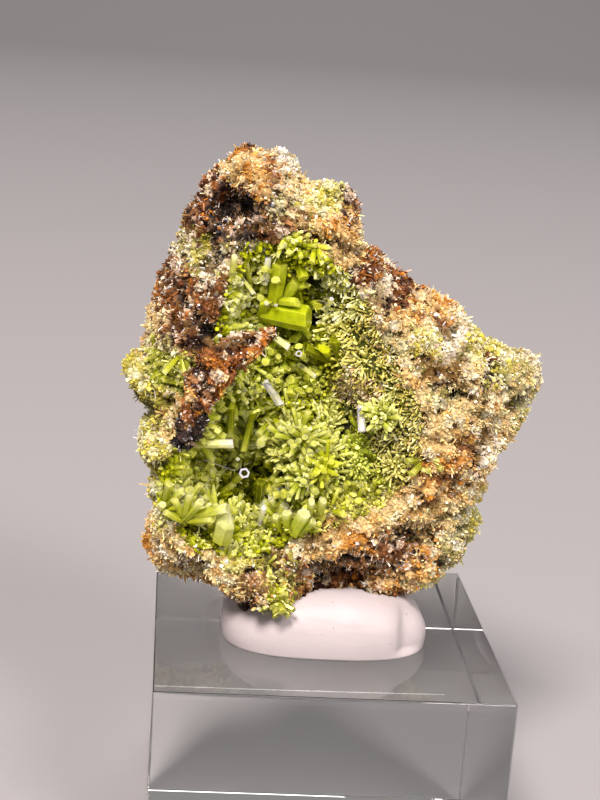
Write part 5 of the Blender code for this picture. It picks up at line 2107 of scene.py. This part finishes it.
@dataclass
class MatrixDruse:
    """The coating of tiny crystals over the rock and the arm.

    Attributes:
        rock: The rock.
        arm: The arm.
        seed: Number that starts the random choices.
        back_share: How dense the grains of the back are, as a share.
        back_from: Share of the form from which they are so.
        blade_width: Width of a blade, as a share of a grain's.
        glint_share: Share of the grains and of the blades that are painted near white as glints, a painted
            highlight.
        arm_density: Grains of the arm for each square millimetre.
        sunk: Share of a grain's length that is sunk in the rock.
        parts: Share of the form at which the grains are parted into pieces.
    """

    rock: MatrixRock
    arm: RustyArm
    seed: int = 29
    back_share: float = 0.28
    back_from: float = 2.15
    blade_width: float = 0.42
    glint_share: tuple[float, float] = (0.02, 0.08)
    arm_density: float = 26.0
    sunk: float = 0.35
    parts: tuple[float, float, float] = (1.45, 1.6, 2.0)

    def grains(
        self, found: Strewn, coat: np.ndarray, blade: np.ndarray, chance: np.random.Generator
    ) -> Crystals:
        """Make a grain at each place, of the size and colours of its coating.

        Args:
            found: Places of the grains.
            coat: Number of each one's coating.
            blade: Which of them are long thin blades.
            chance: Source of the random choices.

        Returns:
            The grains.
        """
        count = len(coat)
        half_width = values_of(COATS, "grain")[coat] * uneven(chance, 0.3, count)
        half_width = np.where(blade, self.blade_width * half_width, half_width)
        longer, shorter = chance.uniform(5, 11, count), chance.uniform(1.2, 2.4, count)
        length = half_width * np.where(blade, longer, shorter)
        wild = np.where(blade, 0.6, 0.5)[:, None]
        direction = unit(found.normals + wild * chance.normal(0, 1, (count, 3)))
        # Painted shade: grains low in creases take more of the coating's darker crease colour, blades less
        # as they stand out
        lit = np.clip(found.standing + np.where(blade, 0.4, 0.12), 0, 1)
        tint = shaded(found.places, coat, lit) * uneven(chance, 0.24, (count, 1))
        tint = tint * np.where(blade, 1.15, 0.95)[:, None]
        # Painted highlight: a few grains and blades are coloured near white to stand for glints
        painted_glints = chance.random(count) < np.where(blade, self.glint_share[1], self.glint_share[0])
        tint = np.clip(np.where(painted_glints[:, None], tint * 0.4 + 0.5, tint), 0, 0.92)
        feet = found.places - direction * (self.sunk * length[:, None])
        turns = chance.uniform(0, math.pi, count)
        # Painted shade: each grain's foot is 0.4 times as bright as its tip, where it meets the rock
        return Crystals(feet, direction, length, half_width, tint * 0.4, tint, turns)

    def strewn(self, chance: np.random.Generator) -> tuple[list[Strewn], list[np.ndarray]]:
        """Choose the places of the grains on the rock and on the arm.

        Args:
            chance: Source of the random choices.

        Returns:
            The places on each, and the numbers of their coatings.
        """
        surface, form = self.rock.surface, self.rock.form
        share = surface.patch_share()
        densities = values_of(COATS, "density")
        past = form.past_growth(surface.middles(), share)
        amount = np.where(share < self.back_from, 1.0, self.back_share) * smooth_step(past, -0.2, 0.04)
        found = surface.strew(densities.max() * amount, chance)
        cover = Cover.over(found.places, form.edge_depth(found.places[:, 2]))
        coat = cover.pick(chance.random(len(found.share)))
        clump = 0.75 + 0.5 * soft_noise(found.places, 0.9, 163)
        keep = chance.random(len(coat)) < densities[coat] / densities.max() * clump
        keep &= chance.random(len(coat)) < 0.45 + 0.55 * found.standing
        patches = (self.arm.steps - 1, self.arm.columns)
        on_arm = self.arm.surface.strew(np.full(patches, self.arm_density), chance)
        return [found.keep(keep), on_arm], [coat[keep], self.arm.coats(on_arm.places)]

    def build(self) -> list[bpy.types.Object]:
        """Make the grains and blades of front, sides and back.

        Returns:
            The pieces.
        """
        chance = np.random.default_rng(self.seed)
        places, coats = self.strewn(chance)
        blades = [chance.random(len(coat)) < values_of(COATS, "blades")[coat] for coat in coats]
        crystals = Crystals.joined([self.grains(*rows, chance) for rows in zip(places, coats, blades)])
        share = Strewn.joined(places).share
        blade = np.concatenate(blades)
        rim, front, back = self.parts
        finish = DRUSE.material()
        pieces = []
        for name, chosen, habit in (
            ("rim_grains", ~blade & (share < rim), Habit.GRAIN),
            ("flank_grains", ~blade & (share >= rim) & (share < back), Habit.GRAIN),
            ("back_grains", ~blade & (share >= back), Habit.GRAIN),
            ("front_blades", blade & (share < front), Habit.BLADE),
            ("side_blades", blade & (share >= front), Habit.BLADE),
        ):
            pieces.append(crystals.keep(chosen).build(name, habit, chance))
            pieces[-1].data.materials.append(finish)
        return pieces


def points_of(x: np.ndarray, y: np.ndarray, z: np.ndarray) -> np.ndarray:
    """Put coordinates that spread over each other together as points."""
    return np.stack(np.broadcast_arrays(x, y, z), axis=-1)


@dataclass
class DisplayBlock:
    """The polished acrylic block, at the size of its solid."""

    edge_radius: float = 0.2
    edge_steps: int = 4

    def build(self) -> bpy.types.Object:
        """Make a box with rounded edges.

        A small sphere is cut in eight, and each part moves out to a corner of the box, so
        the strips between the parts are the rounded edges and the flat faces.

        Returns:
            The block.
        """
        low, high = (np.array(corner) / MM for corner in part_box("acrylic_block"))
        middle, half = (low + high) / 2, (high - low) / 2 - self.edge_radius
        quarter = np.linspace(0, math.pi / 2, self.edge_steps + 1)
        turn = np.concatenate([quarter + k * math.pi / 2 for k in range(4)])
        turn_middle = np.repeat(np.arange(4) * math.pi / 2 + math.pi / 4, self.edge_steps + 1)
        lift = np.concatenate([-math.pi / 2 + quarter, quarter])[:, None]
        lift_side = np.repeat([-1.0, 1.0], self.edge_steps + 1)[:, None]
        ball = points_of(np.cos(lift) * np.cos(turn), np.cos(lift) * np.sin(turn), np.sin(lift))
        corner = points_of(np.sign(np.cos(turn_middle)), np.sign(np.sin(turn_middle)), lift_side)
        points = (middle + corner * half + self.edge_radius * ball)[::-1]
        up = np.array([0.0, 0.0, half[2] + self.edge_radius])
        block = closed_grid("clear_block", points, middle + up, middle - up, False)
        block.data.materials.append(Acrylic().material())
        return block


@dataclass
class PuttyLump:
    """The rolled lump of putty under the rock.

    Attributes:
        rock: The rock that presses it from above.
        centre_x: Its middle across.
        centre_y: Its middle in depth.
        half_length: Half its length.
        half_width: Half its width.
        height: Its height.
        end_drop: How much lower its ends are, as a share.
        base: Height of the block's top.
        lift: How far it stays above the block.
        columns: Points of a ring.
        rings: Rings up to its top.
        clearance: Gap to the rock.
        cell: Size of a cell in the table of the rock's underside.
        table_size: Cells along each side of that table.
    """

    rock: MatrixRock
    centre_x: float = -0.1
    centre_y: float = -1.6
    half_length: float = 10.1
    half_width: float = 6.7
    height: float = 5.7
    end_drop: float = 0.26
    base: float = 20.0
    lift: float = 0.02
    columns: int = 200
    rings: int = 70
    clearance: float = 0.08
    cell: float = 0.4
    table_size: int = 80

    def cells(self, x: np.ndarray, y: np.ndarray) -> tuple[np.ndarray, np.ndarray]:
        """Give the row and the column of each place in the table of heights."""
        last = self.table_size - 1
        row, column = ((v / self.cell).astype(int) + self.table_size // 2 for v in (x, y))
        return np.clip(row, 0, last), np.clip(column, 0, last)

    def ceiling(self, x: np.ndarray, y: np.ndarray) -> np.ndarray:
        """Give the height of the rock's underside over each place, or a great height.

        Args:
            x: Places across.
            y: Their depth.

        Returns:
            The heights.
        """
        rock = self.rock.surface.points.reshape(-1, 3)
        rock = rock[rock[:, 2] < self.base + 9.0]
        table = np.full((self.table_size, self.table_size), 1e3)
        np.minimum.at(table, self.cells(rock[:, 0], rock[:, 1]), rock[:, 2])
        shifts = product((-1, 0, 1), repeat=2)
        table = np.min([np.roll(table, shift, axis=(0, 1)) for shift in shifts], axis=0)
        return table[self.cells(x, y)]

    def dents(self, places: np.ndarray) -> np.ndarray:
        """Give the finger marks: soft hollows, a pinched right end and fine wrinkles.

        Args:
            places: Places on the smooth lump.

        Returns:
            How far each place moves.
        """
        up = np.clip((places[:, 2] - self.base) / self.height, 0, 1)
        inward = unit(places * [1.0, 1.0, 0.0] - [self.centre_x, self.centre_y, 0.0])
        amount = 0.3 * soft_noise(places, 3.4, 211) + 0.1 * soft_noise(places, 1.2, 213)
        amount += 0.03 * soft_noise(places * [0.5, 1.0, 2.0], 0.5, 217)
        pinch = np.exp(-(((places[:, 0] - 7.6) / 1.1) ** 2)) * smooth_step(-places[:, 1], 2.0, 6.0)
        return inward * (amount * up - 0.7 * pinch)[:, None] * smooth_step(up, 0.0, 0.15)[:, None]

    def build(self) -> bpy.types.Object:
        """Make the lump: a squashed roll that the rock has pressed from above.

        Returns:
            The lump.
        """
        turn = full_turn(self.columns)
        climb = np.linspace(0, math.pi / 2, self.rings + 1)[:-1][:, None]
        reach = (0.95 + 0.05 * np.sin(2 * climb)) * np.cos(climb) ** 0.42
        x = reach * np.sign(np.cos(turn)) * np.abs(np.cos(turn)) ** 0.72
        y = reach * np.sign(np.sin(turn)) * np.abs(np.sin(turn)) ** 0.76
        z = self.height * np.sin(climb) * (1 - self.end_drop * x**2)
        floor = self.base + self.lift
        points = points_of(
            self.centre_x + self.half_length * x, self.centre_y + self.half_width * y, floor + z
        )
        flat = points.reshape(-1, 3)
        flat += self.dents(flat)
        flat[:, 2] = np.minimum(flat[:, 2], self.ceiling(flat[:, 0], flat[:, 1]) - self.clearance)
        flat[:, 2] = np.maximum(flat[:, 2], floor)
        points = flat.reshape(points.shape)[::-1]
        bottom = np.array([self.centre_x, self.centre_y, floor])
        putty = closed_grid("white_putty", points, points[0].mean(axis=0), bottom, True)
        putty.data.materials.append(Putty().material())
        return putty


@dataclass
class Studio:
    """Camera, floor and soft lights.

    The camera's place and turn are those that fit the block's edges in the photograph.

    Attributes:
        position: Place of the camera in millimetres.
        yaw: Its turn to the right in degrees.
        pitch: Its turn down in degrees.
        roll: Its turn about its own axis in degrees.
        lens: Focal length in millimetres.
        sensor: Width of the sensor in millimetres.
        floor_half: Half width of the floor.
        floor_run: Its front and back edge.
        sweep: Radius with which it rises behind.
        sweep_from: Where the rise starts.
        floor_drop: How far it lies under the block.
        lights: Name, place in metres, size, power and colour of each light.
        aim: Height in metres that the lights face.
    """

    position: tuple[float, float, float] = (-17.17, -145.29, 80.97)
    yaw: float = 5.265
    pitch: float = 14.826
    roll: float = 4.413
    lens: float = 73.46
    sensor: float = 36.0
    floor_half: float = 3000.0
    floor_run: tuple[float, float] = (-1500.0, 2400.0)
    sweep: float = 1100.0
    sweep_from: float = 1300.0
    floor_drop: float = 0.02
    lights: tuple[tuple, ...] = (
        ("key", (-0.35, -0.9, 1.15), 0.35, 35.0, "#FFF2EC"),
        ("fill", (0.6, -1.1, 0.9), 0.4, 15.0, "#FFF4F0"),
        ("back", (0.3, 1.2, 1.4), 0.8, 8.0, "#FFFFFF"),
    )
    aim: float = 0.04

    def camera(self) -> None:
        """Place the camera and make it the scene's own."""
        yaw, pitch, roll = (math.radians(v) for v in (self.yaw, self.pitch, self.roll))
        ahead = (math.sin(yaw) * math.cos(pitch), math.cos(yaw) * math.cos(pitch), -math.sin(pitch))
        forward = Vector(ahead)
        level = Vector((math.cos(yaw), -math.sin(yaw), 0.0))
        right = level * math.cos(roll) + level.cross(forward) * math.sin(roll)
        turn = Matrix((right, right.cross(forward), -forward)).transposed().to_4x4()
        data = bpy.data.cameras.new("camera")
        data.lens, data.sensor_width = self.lens, self.sensor
        data.clip_start, data.clip_end = 0.01, 20.0
        made = link_object("camera", data)
        made.matrix_world = Matrix.Translation(Vector(self.position) * MM) @ turn
        bpy.context.scene.camera = made

    def floor(self) -> None:
        """Make a pale floor that rises in a wide sweep far behind."""
        across = np.linspace(-self.floor_half, self.floor_half, 13)
        run = np.linspace(*self.floor_run, 60)[:, None]
        past = np.maximum(run - self.sweep_from, 0.0)
        rise = self.sweep - np.sqrt(np.maximum(self.sweep**2 - past**2, 0.0))
        points = points_of(across, run, rise - self.floor_drop)
        number = np.arange(points.shape[0] * points.shape[1]).reshape(points.shape[:2])
        quads = np.stack([number[:-1, :-1], number[:-1, 1:], number[1:, 1:], number[1:, :-1]], axis=-1)
        sizes = np.full(quads.size // 4, 4)
        floor = write_mesh("floor", points.reshape(-1, 3), quads.ravel(), sizes, True)
        made = bpy.data.materials.new("pale_floor")
        made.use_nodes = True
        shader = made.node_tree.nodes["Principled BSDF"]
        shader.inputs["Base Color"].default_value = rgba("#989698")
        shader.inputs["Roughness"].default_value = 0.7
        floor.data.materials.append(made)

    def light(self, name: str, place: tuple, size: float, power: float, colour: str) -> None:
        """Add a soft square light that faces the specimen's middle.

        Args:
            name: Name of the light.
            place: Its place in metres.
            size: Length of its sides in metres.
            power: Its power in watts.
            colour: Its colour.
        """
        data = bpy.data.lights.new(name, "AREA")
        data.size, data.energy, data.color = size, power, linear(colour)
        made = link_object(name, data)
        made.location = place
        way = Vector((0.0, 0.0, self.aim)) - made.location
        made.rotation_euler = way.to_track_quat("-Z", "Y").to_euler()

    def build(self) -> None:
        """Make the whole studio."""
        self.camera()
        self.floor()
        for row in self.lights:
            self.light(*row)
        world = bpy.data.worlds.new("soft_room")
        world.use_nodes = True
        backdrop = world.node_tree.nodes["Background"]
        backdrop.inputs["Color"].default_value = rgba("#E8E4E2")
        backdrop.inputs["Strength"].default_value = 0.3
        bpy.context.scene.world = world
        bpy.context.scene.view_settings.view_transform = "Standard"


def dress(piece: bpy.types.Object, node: str) -> None:
    """Tie a piece to the body, hide the solid that it stands for, and report the piece's triangles.

    Args:
        piece: Piece of the looks.
        node: Name of the solid.
    """
    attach(piece, BODY)
    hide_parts(node)
    corners = np.empty(len(piece.data.polygons), np.int32)
    piece.data.polygons.foreach_get("loop_total", corners)
    LOG.info("%s: %d triangles", piece.name, int((corners - 2).sum()))


def main() -> None:
    """Build the specimen on its block, piece by piece, in the studio."""
    logging.basicConfig(level=logging.INFO, format="%(name)s %(message)s")
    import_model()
    studio = Studio()
    studio.build()
    rock = MatrixRock(RockForm())
    dress(rock.build(), "matrix_rock")
    arm = RustyArm()
    dress(arm.build(), "matrix_rock")
    for piece in CrystalCrust(rock).build():
        dress(piece, "pyromorphite_crust")
    for piece in MatrixDruse(rock, arm).build():
        dress(piece, "matrix_rock")
    dress(DisplayBlock().build(), "acrylic_block")
    dress(PuttyLump(rock).build(), "putty")


if __name__ == "__main__":
    main()
